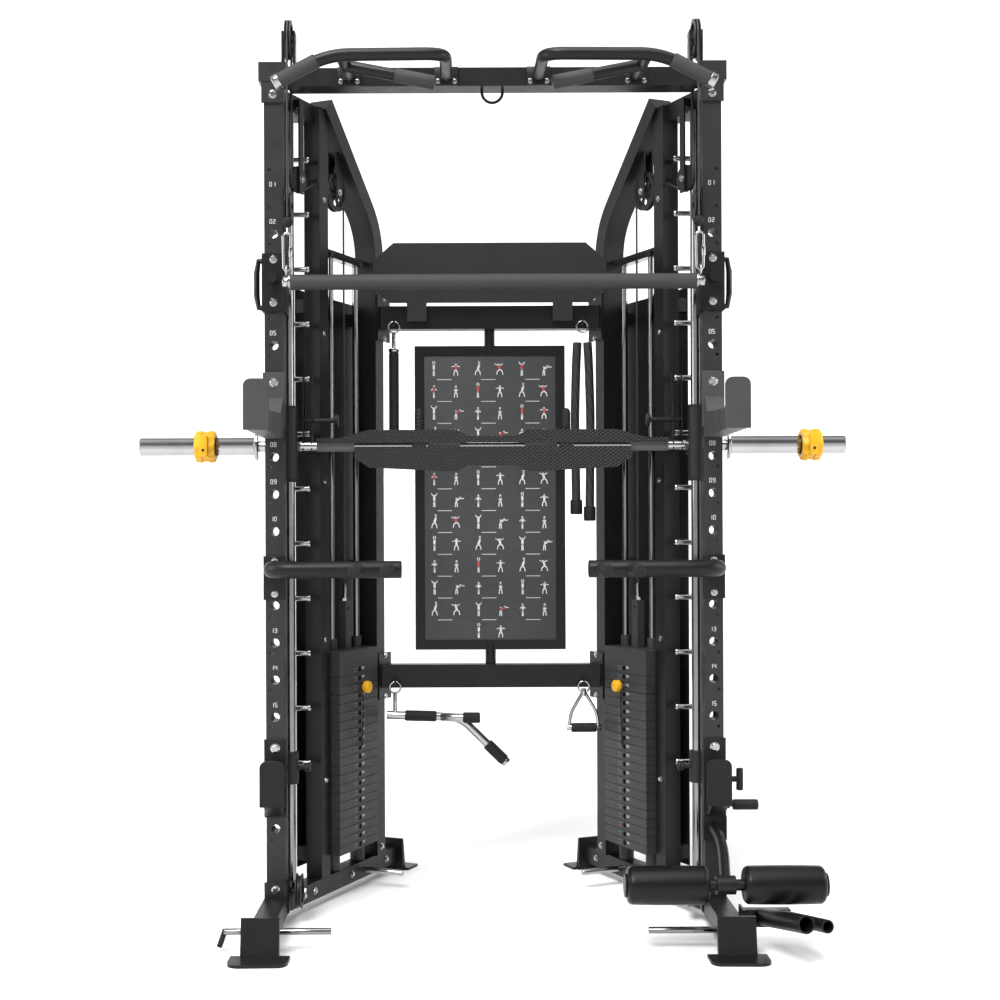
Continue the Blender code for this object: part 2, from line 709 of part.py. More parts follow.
def make_landmine():
    """Two open bar tubes on a bracket at the outside of the leg, made on the left."""
    big = ((-0.667, -0.36, 0.075), (-0.732, -0.5935, 0.115))
    small = ((-0.722, -0.36, 0.075), (-0.785, -0.586, 0.108))
    pieces = [
        rod(big[0], big[1], 0.0225, 16),
        rod(small[0], small[1], 0.0165, 16),
        box(-0.742, -0.6203, -0.380, -0.352, 0.052, 0.096),
        box(-0.6263, -0.6203, -0.384, -0.320, 0.030, 0.096),
    ]
    cutters = []
    for (start, end), bore in ((big, 0.0185), (small, 0.013)):
        start = mathutils.Vector(start)
        end = mathutils.Vector(end)
        along = (end - start).normalized()
        cutters.append(rod(start + along * 0.03, end + along * 0.02, bore, 16))
    return fuse(pieces, cutters)


def make_smith_bar():
    """The bar with its sleeves, flange rings, catch hooks and turning handles."""
    axis = (BAR_Y, BAR_Z)
    pieces = [rod((-0.66, *axis), (0.66, *axis), BAR_RADIUS, 16)]
    hook = [(-0.014, -0.012), (0.016, -0.012), (0.024, 0.02), (0.022, 0.2), (-0.004, 0.2), (-0.014, 0.02)]
    hook = [(BAR_Y + y, BAR_Z + z) for y, z in hook]
    for side in (-1, 1):
        pieces.append(rod((side * 0.652, *axis), (side * SLEEVE_END_X, *axis), SLEEVE_RADIUS, 16))
        pieces.append(rod((side * 0.652, *axis), (side * 0.662, *axis), 0.040, 16))
        for x in (0.528, 0.504):
            pieces.append(plate(hook, (side * x, 0, 0), (0, 1, 0), (0, 0, 1), 0.004))
        z = BAR_Z + 0.072
        pieces.append(rod((side * 0.529, BAR_Y + 0.004, z), (side * 0.432, BAR_Y + 0.004, z), 0.007, 8))
        pieces.append(rod((side * 0.440, BAR_Y + 0.004, z), (side * 0.430, BAR_Y + 0.004, z), 0.018, 12))
    return fuse(pieces)


def make_carriage():
    """The bearing that runs on a guide rail and holds one end of the bar."""
    rail = (-RAIL_X, RAIL_Y)
    axis = (BAR_Y, BAR_Z)
    pieces = [
        rod((*rail, 1.194), (*rail, 1.404), 0.0225, 16),
        box(-RAIL_X - 0.0215, -RAIL_X + 0.0215, RAIL_Y + 0.005, BAR_Y + 0.024, 1.270, 1.320),
    ]
    cutters = [
        rod((*rail, 1.1), (*rail, 1.5), RAIL_RADIUS + 0.0004, 16),
        rod((-0.7, *axis), (-0.5, *axis), BAR_RADIUS + 0.0004, 16),
    ]
    return fuse(pieces, cutters)


def make_foot_plate():
    """The leg-press plate: two wings on clamps round the bar, with a peg on each clamp."""
    upper = [(-0.49, 1.303), (0.49, 1.303), (0.49, 1.317), (0.425, 1.317), (0.345, 1.339)]
    upper = upper + [(0.100, 1.339), (0.066, 1.321), (-0.066, 1.321), (-0.100, 1.339)]
    upper = upper + [(-0.345, 1.339), (-0.425, 1.317), (-0.49, 1.317)]
    lower = [(-0.385, 1.262), (-0.345, 1.234), (-0.100, 1.222), (-0.066, 1.240), (0.066, 1.240)]
    lower = lower + [(0.100, 1.222), (0.345, 1.234), (0.385, 1.262), (0.385, 1.290), (-0.385, 1.290)]
    y = BAR_Y - BAR_RADIUS - 0.008
    pieces = []
    for outline in (upper, lower):
        pieces.append(plate(outline, (0, y, 0), (1, 0, 0), (0, 0, 1), 0.006))
    cutters = []
    for x in (-0.205, 0.205):
        pieces.append(box(x - 0.02, x + 0.02, y, BAR_Y + 0.022, 1.272, 1.318))
        pieces.append(rod((x, BAR_Y, 1.31), (x, BAR_Y, 1.388), 0.0125, 12))
        pieces.append(ball((x, BAR_Y, 1.388), 0.0124))
        cutters.append(rod((x - 0.1, BAR_Y, BAR_Z), (x + 0.1, BAR_Y, BAR_Z), BAR_RADIUS + 0.0004, 16))
    return fuse(pieces, cutters)


def make_collar():
    """A sleeve collar centred on x = 0, with its lever."""
    pieces = [
        rod((-0.028, BAR_Y, BAR_Z), (0.028, BAR_Y, BAR_Z), 0.040, 12),
        rod((-0.022, BAR_Y, BAR_Z), (0.022, BAR_Y, BAR_Z), 0.045, 12),
        box(-0.012, 0.012, BAR_Y - 0.055, BAR_Y - 0.03, BAR_Z - 0.03, BAR_Z + 0.03),
    ]
    bore = rod((-0.1, BAR_Y, BAR_Z), (0.1, BAR_Y, BAR_Z), SLEEVE_RADIUS + 0.0004, 16)
    return fuse(pieces, [bore])


def place_x(solid, x):
    solid.data.transform(mathutils.Matrix.Translation((x, 0, 0)))
    return solid


def make_trolley():
    """The pulley trolley: a sleeve round the upright, its pulley, its cheek and its handle loop."""
    x = -UPRIGHT_X
    y = FRONT_Y
    handle = [
        (x - 0.029, -0.112, 1.790),
        (x - 0.050, -0.112, 1.790),
        (x - 0.050, -0.112, 1.664),
        (x - 0.029, -0.112, 1.664),
    ]
    wheel_y = -TOP_PULLEY[2] + TOP_PULLEY[0] + 0.04
    pieces = [
        box(x - 0.0315, x + 0.0313, y - 0.0063, -0.0687, 1.648, 1.805),
        box(x + 0.0256, x + 0.0309, y - 0.0050, -0.080, 1.770, 1.980),
        tube(smooth(handle, 1), 0.008),
        fixed_pulley((-CABLE_X, wheel_y, 1.935), (1, 0, 0), 0.04, 0.007, 0.008, -0.0118, 0.012),
        rod((x, y - 0.004, 1.735), (x, y - 0.020, 1.735), 0.009, 8),
        rod((x, y - 0.018, 1.735), (x, y - 0.032, 1.735), 0.014, 8),
    ]
    inside = box(x - 0.0253, x + 0.0253, y - GAP, -0.0747, 1.6, 2.1)
    return fuse(pieces, [inside])


def make_lat_bar():
    """The long pull bar with an eye, a snap link and a ball stop at each end."""
    pieces = [
        rod((-0.560, LAT_Y, LAT_Z), (0.560, LAT_Y, LAT_Z), 0.014, 12),
        rod((-0.539, LAT_Y, LAT_Z), (0.539, LAT_Y, LAT_Z), 0.0205, 16),
    ]
    cable_y = TOP_PULLEY[0] - TOP_PULLEY[2]
    for side in (-1, 1):
        x = side * CABLE_X
        link = arc((x, 1.848), 0.010, 0, 180, 6) + arc((x, 1.776), 0.010, 180, 360, 6)
        pieces.append(tube([(across, cable_y - 0.009, z) for across, z in link], 0.0035, 1, True))
        pieces.append(rod((x, cable_y - 0.009, 1.765), (x, LAT_Y, 1.735), 0.005, 8))
        pieces.append(rod((x, LAT_Y, 1.737), (x, LAT_Y, LAT_Z), 0.007, 8))
        pieces.append(rod((x, cable_y - 0.009, 1.860), (x, cable_y, 1.882), 0.004, 8))
        pieces.append(ball((x, cable_y, 1.885), 0.0148))
    return fuse(pieces)


def make_cable():
    """The cable of one stack: up over the high pulley, under the guide pulley, over the top pulley."""
    centre, height, radius = HIGH_PULLEY
    turn_t, turn_z, turn_radius = TURN_PULLEY
    apart = math.hypot(turn_t - centre, turn_z - height)
    lean = math.degrees(math.atan2(turn_z - height, turn_t - centre)) % 360
    leave = lean - math.degrees(math.acos((radius + turn_radius) / apart))
    start = (CABLE_T, 0.8525)
    over = arc((centre, height), radius, 0, leave, 10)
    under = arc((turn_t, turn_z), turn_radius, leave + 180, 180, 9)
    path = [side_point(start[0], 0, start[1])]
    path = path + [side_point(t, 0, z) for t, z in over]
    path = path + [side_point(t, TURN_W, z) for t, z in under]
    y, z, radius = TOP_PULLEY
    path = path + [(-CABLE_X, across, up) for across, up in arc((y, z), radius, 0, 180, 16)]
    path.append((-CABLE_X, y - radius, 1.9003))
    return tube(path, CABLE_RADIUS)


def make_roller():
    """A foam leg roller between x = 0 and x = 0.203."""
    y, z = -0.425, 0.170
    pieces = [
        rod((0.0, y, z), (0.203, y, z), 0.0445, 16),
        rod((0.008, y, z), (0.195, y, z), 0.0485, 16),
    ]
    return fuse(pieces, [rod((-0.1, y, z), (0.3, y, z), 0.0149, 12)])


def make_chart_board():
    """The framed chart board on its two pivot posts."""
    half = 0.2285
    low, high = 0.696, 1.620
    back, front = BOARD_Y + 0.0125, BOARD_Y - 0.0125
    pieces = [
        box(-half, half, front, back, low, high),
        rod((0, BOARD_Y, high - 0.02), (0, BOARD_Y, UPPER_BEAM_Z[0] - GAP), 0.016, 16),
        rod((0, BOARD_Y, LOWER_BEAM_Z[1] + GAP), (0, BOARD_Y, low + 0.02), 0.016, 16),
        rod((0, BOARD_Y, high), (0, BOARD_Y, UPPER_BEAM_Z[0] + 0.02), 0.0095, 12),
        rod((0, BOARD_Y, LOWER_BEAM_Z[1] - 0.02), (0, BOARD_Y, low), 0.0095, 12),
    ]
    border = 0.028
    window = box(-half + border, half - border, front - 0.01, front + 0.004, low + border, high - border)
    return name_part(fuse(pieces, [window]), "chart_board", "board", (0, BOARD_Y, 1.158))


def make_safety_stop():
    """A safety stop clamped on a guide rail, with its knob."""
    rail = (-RAIL_X, RAIL_Y)
    pieces = [
        rod((*rail, 0.362), (*rail, 0.450), 0.0225, 16),
        rod((-RAIL_X + 0.018, RAIL_Y, 0.406), (-RAIL_X + 0.045, RAIL_Y, 0.406), 0.006, 8),
        rod((-RAIL_X + 0.038, RAIL_Y, 0.406), (-RAIL_X + 0.056, RAIL_Y, 0.406), 0.012, 8),
    ]
    return fuse(pieces, [rod((*rail, 0.3), (*rail, 0.5), RAIL_RADIUS + 0.0004, 16)])


HANG_Y = 0.352


def hanging_ring(x, hole_z):
    """The round link that hangs from a lug."""
    ring = arc((x, hole_z - 0.017), 0.017, 0, 330, 11)
    return tube([(across, HANG_Y, z) for across, z in ring], 0.003, 1, True)


def make_straight_bar():
    x = -0.29
    pieces = [
        hanging_ring(x, 1.690),
        rod((x, HANG_Y, 1.658), (x, HANG_Y, 1.590), 0.006, 8),
        rod((x, HANG_Y, 1.600), (x, HANG_Y, 1.275), 0.0155, 12),
    ]
    return name_part(fuse(pieces), "straight_handle", "grip", (x, HANG_Y, 1.690))


def make_rope():
    """The pull rope, hung by its middle link, with a stopper at each end."""
    x = 0.28
    rope = [
        (x - 0.020, HANG_Y, 1.125),
        (x - 0.024, HANG_Y, 1.40),
        (x - 0.018, HANG_Y, 1.60),
        (x, HANG_Y, 1.684),
        (x + 0.018, HANG_Y, 1.60),
        (x + 0.024, HANG_Y, 1.40),
        (x + 0.020, HANG_Y, 1.105),
    ]
    pieces = [
        hanging_ring(x, 1.690),
        tube(smooth(rope, 2), 0.0135),
        rod((x - 0.020, HANG_Y, 1.150), (x - 0.020, HANG_Y, 1.105), 0.0185, 12),
        rod((x + 0.020, HANG_Y, 1.130), (x + 0.020, HANG_Y, 1.085), 0.0185, 12),
    ]
    return name_part(fuse(pieces), "pull_rope", "grip", (x, HANG_Y, 1.690))


def make_angled_bar():
    """The angled row handle, hung by its eye."""
    x = -0.29
    y = HANG_Y
    bar = [(x - 0.025, y, 0.502), (-0.125, y, 0.496), (-0.085, y, 0.486), (0.045, y, 0.358)]
    pieces = [
        hanging_ring(x, 0.602),
        rod((x, y, 0.570), (x, y, 0.505), 0.006, 8),
        tube(smooth(bar, 2), 0.0125),
        rod((x + 0.03, y, 0.5003), (-0.165, y, 0.4975), 0.0165, 12),
        rod((-0.012, y, 0.4141), (0.047, y, 0.356), 0.0175, 12),
        tube([(-0.150, y - 0.012, 0.497), (-0.10, y - 0.030, 0.497), (-0.036, y - 0.034, 0.497)], 0.0125),
        rod((-0.085, y - 0.0315, 0.497), (-0.034, y - 0.0342, 0.497), 0.0165, 12),
    ]
    return name_part(fuse(pieces), "angled_handle", "grip", (x, y, 0.602))


def make_d_handle():
    """The stirrup handle, hung by its eye."""
    x = 0.28
    y = HANG_Y
    stirrup = [(x, y, 0.574), (x - 0.040, y, 0.505), (x - 0.044, y, 0.462)]
    other = [(x, y, 0.574), (x + 0.040, y, 0.505), (x + 0.044, y, 0.462)]
    pieces = [
        hanging_ring(x, 0.602),
        tube(stirrup, 0.005),
        tube(other, 0.005),
        rod((x, y, 0.560), (x, y, 0.580), 0.008, 8),
        rod((x - 0.052, y, 0.462), (x + 0.052, y, 0.462), 0.009, 8),
        rod((x - 0.038, y, 0.462), (x + 0.038, y, 0.462), 0.0145, 12),
    ]
    return name_part(fuse(pieces), "stirrup_handle", "grip", (x, y, 0.602))


def finish_model():
    """Makes every sub-part and names it."""
    name_part(make_base("left"), "left_base", "coat")
    right = make_base("right")
    name_part(mirrored(right), "right_base", "coat")
    bpy.data.objects.remove(right, do_unlink=True)
    name_pair(make_upright(), "upright", "coat")
    name_part(make_top_beam(), "top_beam", "coat")
    name_pair(make_rear_frame(), "rear_frame", "coat")
    name_pair(make_rail(), "guide_rail", "chrome")
    name_pair(make_catch_post(), "catch_post", "coat")
    make_crossmember(UPPER_BEAM_Z, 1.690, "upper_crossmember", "coat")
    make_crossmember(LOWER_BEAM_Z, 0.602, "lower_crossmember", "coat")
    make_header()
    name_pair(make_pull_up_handle(), "pull_up_handle", "coat")
    name_pair(make_stack_guides(), "stack_guides", "chrome")
    name_pair(make_lower_plates(), "lower_plates", "plate")
    name_pair(make_lifted_plates(), "lifted_plates", "plate", side_point(CABLE_T, 0, 0.65))
    name_pair(make_selector_pin(), "selector_pin", "yellow", side_point(0.385, 0, 0.602))
    name_pair(make_shroud(), "stack_shroud", "coat")
    name_pair(make_dip_handle(), "dip_handle", "grip")
    name_pair(make_spotter_arm(), "spotter_arm", "coat_light")
    name_pair(make_j_cup(), "j_cup", "coat_light")
    name_pair(make_cable(), "cable", "cable")
    name_pair(make_carriage(), "carriage", "nylon", (-RAIL_X, RAIL_Y, BAR_Z))
    name_pair(make_trolley(), "trolley", "coat", (-UPRIGHT_X, -0.11, 1.735))
    name_pair(make_safety_stop(), "safety_stop", "nylon", (-RAIL_X, RAIL_Y, 0.406))
    name_part(make_smith_bar(), "smith_bar", "chrome", (0, BAR_Y, BAR_Z))
    name_part(make_foot_plate(), "foot_plate", "coat", (0, BAR_Y, BAR_Z))
    name_part(make_lat_bar(), "lat_bar", "grip", (0, LAT_Y, LAT_Z))
    name_part(place_x(make_collar(), -0.800), "left_collar", "yellow", (-0.800, BAR_Y, BAR_Z))
    name_part(place_x(make_collar(), 0.887), "right_collar", "yellow", (0.887, BAR_Y, BAR_Z))
    holder = make_roller_holder()
    name_part(mirrored(holder), "leg_roller_holder", "coat")
    bpy.data.objects.remove(holder, do_unlink=True)
    tubes = make_landmine()
    name_part(mirrored(tubes), "landmine_tubes", "coat")
    bpy.data.objects.remove(tubes, do_unlink=True)
    name_part(place_x(make_roller(), 0.3215), "inner_roller", "foam", (0.423, -0.425, 0.170))
    name_part(place_x(make_roller(), 0.6135), "outer_roller", "foam", (0.715, -0.425, 0.170))
    y, z, radius = TOP_PULLEY
    top = pulley((-CABLE_X, y, z), (1, 0, 0), radius, 0.0063)
    name_pair(top, "top_pulley", "nylon", (-CABLE_X, y, z))
    t, z, radius = HIGH_PULLEY
    high = pulley(side_point(t, 0, z), SIDE_N, radius, 0.0063)
    name_pair(high, "high_pulley", "nylon", side_point(t, 0, z))
    low = pulley((-0.530, -0.115, 0.085), (1, 0, 0), 0.0445, 0.0063)
    name_pair(low, "low_pulley", "nylon", (-0.530, -0.115, 0.085))
    make_chart_board()
    make_straight_bar()
    make_rope()
    make_angled_bar()
    make_d_handle()


finish_model()
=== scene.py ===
"""Looks of the smith machine: finishes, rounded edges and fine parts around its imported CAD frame."""

import json
import math

import bmesh
import bpy
import numpy as np
from mathutils import Matrix, Vector


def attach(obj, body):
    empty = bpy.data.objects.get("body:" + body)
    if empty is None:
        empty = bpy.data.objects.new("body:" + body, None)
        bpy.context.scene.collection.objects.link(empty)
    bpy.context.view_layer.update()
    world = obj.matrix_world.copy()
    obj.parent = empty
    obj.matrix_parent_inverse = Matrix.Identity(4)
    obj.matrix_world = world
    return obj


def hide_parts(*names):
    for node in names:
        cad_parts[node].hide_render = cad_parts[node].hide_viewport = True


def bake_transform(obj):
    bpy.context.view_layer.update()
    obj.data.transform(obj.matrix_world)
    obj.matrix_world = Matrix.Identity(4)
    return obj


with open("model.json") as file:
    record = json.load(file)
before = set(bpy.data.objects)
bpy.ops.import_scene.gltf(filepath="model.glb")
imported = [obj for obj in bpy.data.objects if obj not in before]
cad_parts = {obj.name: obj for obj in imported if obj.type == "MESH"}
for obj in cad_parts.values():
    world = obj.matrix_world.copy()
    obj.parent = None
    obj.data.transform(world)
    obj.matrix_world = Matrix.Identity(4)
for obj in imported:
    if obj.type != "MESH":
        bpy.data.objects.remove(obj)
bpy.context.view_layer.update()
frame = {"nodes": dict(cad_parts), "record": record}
NODES = frame["nodes"]

# Driving dimensions, in metres.
FRONT_Y = -0.145
UPRIGHT_X = 0.59
SIDE_TURN = math.radians(24.0)
BAR_Y, BAR_Z = 0.012, 1.295
RAIL_X, RAIL_Y = 0.562, -0.035
LAT_Y, LAT_Z = -0.19, 1.72
CABLE_X, CABLE_T, TURN_W = 0.550, 0.3875, 0.0172
TOP_PULLEY = (-0.115, 2.385, 0.0525)
HIGH_PULLEY = (0.335, 2.045, 0.0525)
TURN_PULLEY = (0.0947, 2.03, 0.035)
LOW_PULLEY = (0.530, -0.115, 0.085, 0.0445)
CABLE_RADIUS = 0.003
STACK_STEM_Z = 0.8525
SELECTOR_T, SELECTOR_Z = 0.385, 0.602
STACK_BOTTOM_Z, PLATE_PITCH, LOWER_PLATES, LIFTED_PLATES = 0.128, 0.0256, 18, 3
BOARD_Y = 0.395
HANG_Y, UPPER_HOOK_Z, LOWER_HOOK_Z, HOOK_RING = 0.352, 1.690, 0.602, 0.017
DIP_Y, DIP_Z, DIP_STUB_X = -0.245, 0.957, (0.357, 0.277)
HANDLE_X, ROPE_X = -0.29, 0.28
COLLAR_X = {"left": -0.800, "right": 0.887}
ROLLER_Y, ROLLER_Z = -0.425, 0.170
SIDES = ((-1, "left"), (1, "right"))


# ---------------------------------------------------------------- finishes


def new_material(name, colour, metallic, roughness):
    """An empty finish with its constants set on the shader: returns it, its nodes and its shader."""
    material = bpy.data.materials.new(name)
    material.use_nodes = True
    shader = material.node_tree.nodes["Principled BSDF"]
    shader.inputs["Base Color"].default_value = (*colour, 1)
    shader.inputs["Metallic"].default_value = metallic
    shader.inputs["Roughness"].default_value = roughness
    return material, material.node_tree, shader


def noise(tree, place, scale, detail=3.0):
    """Cloudy noise from 0 to 1, with scale blotches to the metre."""
    node = tree.nodes.new("ShaderNodeTexNoise")
    node.inputs["Scale"].default_value = scale
    node.inputs["Detail"].default_value = detail
    tree.links.new(place, node.inputs["Vector"])
    return node.outputs["Fac"]


def place_of(tree, output="Object"):
    """The coordinates that a pattern is laid out on."""
    return tree.nodes.new("ShaderNodeTexCoord").outputs[output]


def spread(tree, value, low, high):
    """The value from 0 to 1 spread over the range low to high."""
    node = tree.nodes.new("ShaderNodeMapRange")
    node.inputs["To Min"].default_value = low
    node.inputs["To Max"].default_value = high
    tree.links.new(value, node.inputs["Value"])
    return node.outputs["Result"]


def maths(tree, operation, first, second):
    """One sum on two values, each a number or another node's output."""
    node = tree.nodes.new("ShaderNodeMath")
    node.operation = operation
    for slot, value in zip(node.inputs, (first, second)):
        if isinstance(value, (int, float)):
            slot.default_value = value
        else:
            tree.links.new(value, slot)
    return node.outputs["Value"]


def two_tone(tree, shader, mask, dark, light):
    """Blends the base colour from dark to light by the mask."""
    node = tree.nodes.new("ShaderNodeValToRGB")
    node.color_ramp.elements[0].color = (*dark, 1)
    node.color_ramp.elements[1].color = (*light, 1)
    tree.links.new(mask, node.inputs["Fac"])
    tree.links.new(node.outputs["Color"], shader.inputs["Base Color"])


def raise_by(tree, shader, height, distance, strength):
    """Adds relief: the height field pushed out by distance at the given strength."""
    node = tree.nodes.new("ShaderNodeBump")
    node.inputs["Distance"].default_value = distance
    node.inputs["Strength"].default_value = strength
    tree.links.new(height, node.inputs["Height"])
    tree.links.new(node.outputs["Normal"], shader.inputs["Normal"])


def uneven_gloss(tree, shader, mask, low, high):
    """Lets the roughness wander from low to high by the mask."""
    tree.links.new(spread(tree, mask, low, high), shader.inputs["Roughness"])


def ridge_angles(tree, place, axes, turns):
    """Two coordinates as angles: each axis of the place times its turns, in radians to the metre."""
    split = tree.nodes.new("ShaderNodeSeparateXYZ")
    tree.links.new(place, split.inputs["Vector"])
    return [maths(tree, "MULTIPLY", split.outputs[axis], turn) for axis, turn in zip(axes, turns)]


def crossed_ridges(tree, place, axes, pitches):
    """Two slanted sets of sine ridges: the larger of sin(a + b) and sin(a - b) at each point."""
    first, second = ridge_angles(tree, place, axes, [2 * math.pi / pitch for pitch in pitches])
    one = maths(tree, "SINE", maths(tree, "ADD", first, second), 0)
    two = maths(tree, "SINE", maths(tree, "SUBTRACT", first, second), 0)
    return maths(tree, "MAXIMUM", one, two)


def powder_coat(name, dark, light, roughness, gloss=0.3):
    """Powder-coated steel: fine orange peel, faint cloudy tone and handling marks in the gloss."""
    material, tree, shader = new_material(name, dark, 0.0, roughness)
    place = place_of(tree)
    cloud = noise(tree, place, 9.0, 4.0)
    two_tone(tree, shader, cloud, dark, light)
    peel = noise(tree, place, 900.0, 2.0)
    raise_by(tree, shader, peel, 0.0002, 0.35)
    uneven_gloss(tree, shader, noise(tree, place, 30.0, 5.0), roughness - 0.08, roughness + 0.12)
    shader.inputs["Specular IOR Level"].default_value = gloss
    return material


def polished_chrome(name, dark, light):
    """Chrome plate or ground steel: faint polishing scratches and slightly uneven gloss."""
    material, tree, shader = new_material(name, dark, 1.0, 0.12)
    place = place_of(tree)
    two_tone(tree, shader, noise(tree, place, 14.0), dark, light)
    uneven_gloss(tree, shader, noise(tree, place, 60.0), 0.08, 0.20)
    raise_by(tree, shader, noise(tree, place, 1400.0, 1.0), 0.00005, 0.15)
    return material


def soft_skin(name, dark, light, grain, roughness):
    """Foam or rubber skin: small closed pores and a soft uneven sheen."""
    material, tree, shader = new_material(name, dark, 0.0, roughness)
    shader.inputs["Specular IOR Level"].default_value = 0.2
    place = place_of(tree)
    two_tone(tree, shader, noise(tree, place, 25.0, 5.0), dark, light)
    raise_by(tree, shader, noise(tree, place, grain, 3.0), 0.0006, 0.5)
    uneven_gloss(tree, shader, noise(tree, place, 80.0), roughness - 0.1, roughness + 0.1)
    return material


def diamond_knurl(name, dark, light, pitch):
    """Knurled grip: two slanted sets of ridges crossing, laid out on the piece's own metre UV map, with
    painted shade in the grooves and painted light on the crests.
    """
    material, tree, shader = new_material(name, dark, 0.2, 0.5)
    height = crossed_ridges(tree, place_of(tree, "UV"), "XY", (pitch, pitch))
    raise_by(tree, shader, height, 0.0005, 0.6)
    # Painted shade and light: the base colour follows the ridges' height, dark in the grooves and light on
    # the crests.
    two_tone(tree, shader, spread(tree, height, 0.2, 0.8), dark, light)
    return material


def moulded_plastic(name, dark, light, roughness):
    """Moulded plastic: a fine spark texture and a little tone change."""
    material, tree, shader = new_material(name, dark, 0.0, roughness)
    shader.inputs["Specular IOR Level"].default_value = 0.3
    place = place_of(tree)
    two_tone(tree, shader, noise(tree, place, 40.0, 4.0), dark, light)
    raise_by(tree, shader, noise(tree, place, 1600.0, 1.0), 0.0002, 0.4)
    uneven_gloss(tree, shader, noise(tree, place, 90.0), roughness - 0.06, roughness + 0.1)
    return material


def tread_plate(name):
    """Foot plate finish: a raised diamond lattice on dark coated steel, darker between the diamonds as
    painted shade.
    """
    material, tree, shader = new_material(name, (0.016, 0.016, 0.017), 0.1, 0.45)
    height = crossed_ridges(tree, place_of(tree), "XZ", (0.014, 0.010))
    raise_by(tree, shader, height, 0.0012, 0.7)
    # Painted shade: the base colour follows the lattice's height, darker in the hollows between the raised
    # diamonds.
    two_tone(tree, shader, spread(tree, height, 0.3, 0.7), (0.004, 0.004, 0.0045), (0.018, 0.018, 0.019))
    shader.inputs["Specular IOR Level"].default_value = 0.25
    return material


def wire_rope(name, radius, strands, lay, relief):
    """Rope or coated cable: its strands are slanted ridges along the piece's own metre UV map, with painted
    shade darkening the grooves between them.
    """
    material, tree, shader = new_material(name, (0.01, 0.01, 0.011), 0.0, 0.5)
    across, along = ridge_angles(tree, place_of(tree, "UV"), "XY", (strands / radius, 2 * math.pi / lay))
    height = maths(tree, "SINE", maths(tree, "ADD", across, along), 0)
    raise_by(tree, shader, height, relief, 0.5)
    # Painted shade: the base colour follows the strands' height, darker in the grooves between them.
    two_tone(tree, shader, spread(tree, height, 0.3, 0.7), (0.008, 0.008, 0.009), (0.03, 0.03, 0.032))
    return material


def printed(name, colour, gloss=0.5):
    """Printed ink, and also the painted shade of the selector holes: the colour with a faint screen grain."""
    light = tuple(min(1.0, channel * 1.12) for channel in colour)
    material, tree, shader = new_material(name, colour, 0.0, 0.6)
    shader.inputs["Specular IOR Level"].default_value = gloss
    two_tone(tree, shader, noise(tree, place_of(tree), 400.0), colour, light)
    return material


COAT = powder_coat("black_coat", (0.0045, 0.0045, 0.0048), (0.0085, 0.0085, 0.0088), 0.36, 0.22)
# Painted light: a lighter, glossier copy of the black coat for the uprights and header panel, its extra
# lightness standing in for the light their broad faces catch.
PAINTED_LIT_COAT = powder_coat("painted_lit_coat", (0.010, 0.010, 0.0105), (0.019, 0.019, 0.0195), 0.33, 0.35)
LIGHT_COAT = powder_coat("grey_coat", (0.032, 0.032, 0.0335), (0.052, 0.052, 0.0535), 0.45)
CHROME = polished_chrome("chrome_plate", (0.30, 0.30, 0.305), (0.46, 0.46, 0.47))
# Painted shade: a darker copy of the chrome for the guide rails, stack guides and band peg sleeves, standing
# in for their dim reflections.
PAINTED_SHADE_CHROME = polished_chrome("painted_shade_chrome", (0.17, 0.17, 0.173), (0.27, 0.27, 0.275))
FOAM = soft_skin("roller_foam", (0.0025, 0.0025, 0.0027), (0.005, 0.005, 0.0052), 500.0, 0.32)
RUBBER = soft_skin("grip_rubber", (0.008, 0.008, 0.0085), (0.015, 0.015, 0.0155), 900.0, 0.6)
KNURL = diamond_knurl("knurled_black", (0.010, 0.010, 0.011), (0.040, 0.040, 0.042), 0.0035)
BAR_KNURL = diamond_knurl("knurled_bar", (0.05, 0.05, 0.052), (0.16, 0.16, 0.165), 0.0025)
YELLOW = moulded_plastic("yellow_plastic", (0.58, 0.28, 0.005), (0.68, 0.36, 0.008), 0.38)
NYLON = moulded_plastic("black_nylon", (0.007, 0.007, 0.0075), (0.014, 0.014, 0.0145), 0.45)
STACK = powder_coat("stack_coat", (0.020, 0.021, 0.023), (0.034, 0.035, 0.037), 0.5)
PANEL = moulded_plastic("panel_print", (0.038, 0.039, 0.041), (0.052, 0.053, 0.055), 0.45)
TREAD = tread_plate("tread_coat")
ROPE = wire_rope("cable_sheath", 0.003, 6, 0.012, 0.0003)
TWIST = wire_rope("pull_rope_strands", 0.0133, 8, 0.05, 0.0012)
WHITE_INK = printed("white_ink", (0.62, 0.62, 0.62))
GREY_INK = printed("grey_ink", (0.46, 0.46, 0.47))
RED_INK = printed("red_ink", (0.50, 0.045, 0.03))
DULL_RED_INK = printed("dull_red_ink", (0.26, 0.075, 0.05))
DULL_GREEN_INK = printed("dull_green_ink", (0.06, 0.17, 0.09))
# Painted shade: near-black discs standing in for the dark inside of the selector holes.
HOLE_SHADE = printed("painted_hole_shade", (0.002, 0.002, 0.002), 0.02)
STRAP = soft_skin("strap_web", (0.010, 0.010, 0.011), (0.022, 0.022, 0.023), 1500.0, 0.8)


# ---------------------------------------------------------------- surfaces


def side_point(t, w, z, side=-1):
    """The point of a side frame that is t back along it, w inwards from it and z up."""
    x = -UPRIGHT_X + t * math.sin(SIDE_TURN) + w * math.cos(SIDE_TURN)
    y = FRONT_Y + 0.035 + t * math.cos(SIDE_TURN) - w * math.sin(SIDE_TURN)
    return np.array((-side * x, y, z))


def inward(side):
    """The unit direction that points squarely in from a side frame."""
    return side_point(0, 1, 0, side) - side_point(0, 0, 0, side)


def add_piece(name, mesh, body, material, smooth_below=40.0):
    """Puts a finished mesh in the scene on its body, shaded smooth where faces meet gently."""
    piece = bpy.data.objects.new(name, mesh)
    bpy.context.scene.collection.objects.link(piece)
    mesh.materials.append(material)
    mesh.shade_smooth()
    mesh.set_sharp_from_angle(angle=math.radians(smooth_below))
    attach(piece, body)
    return piece


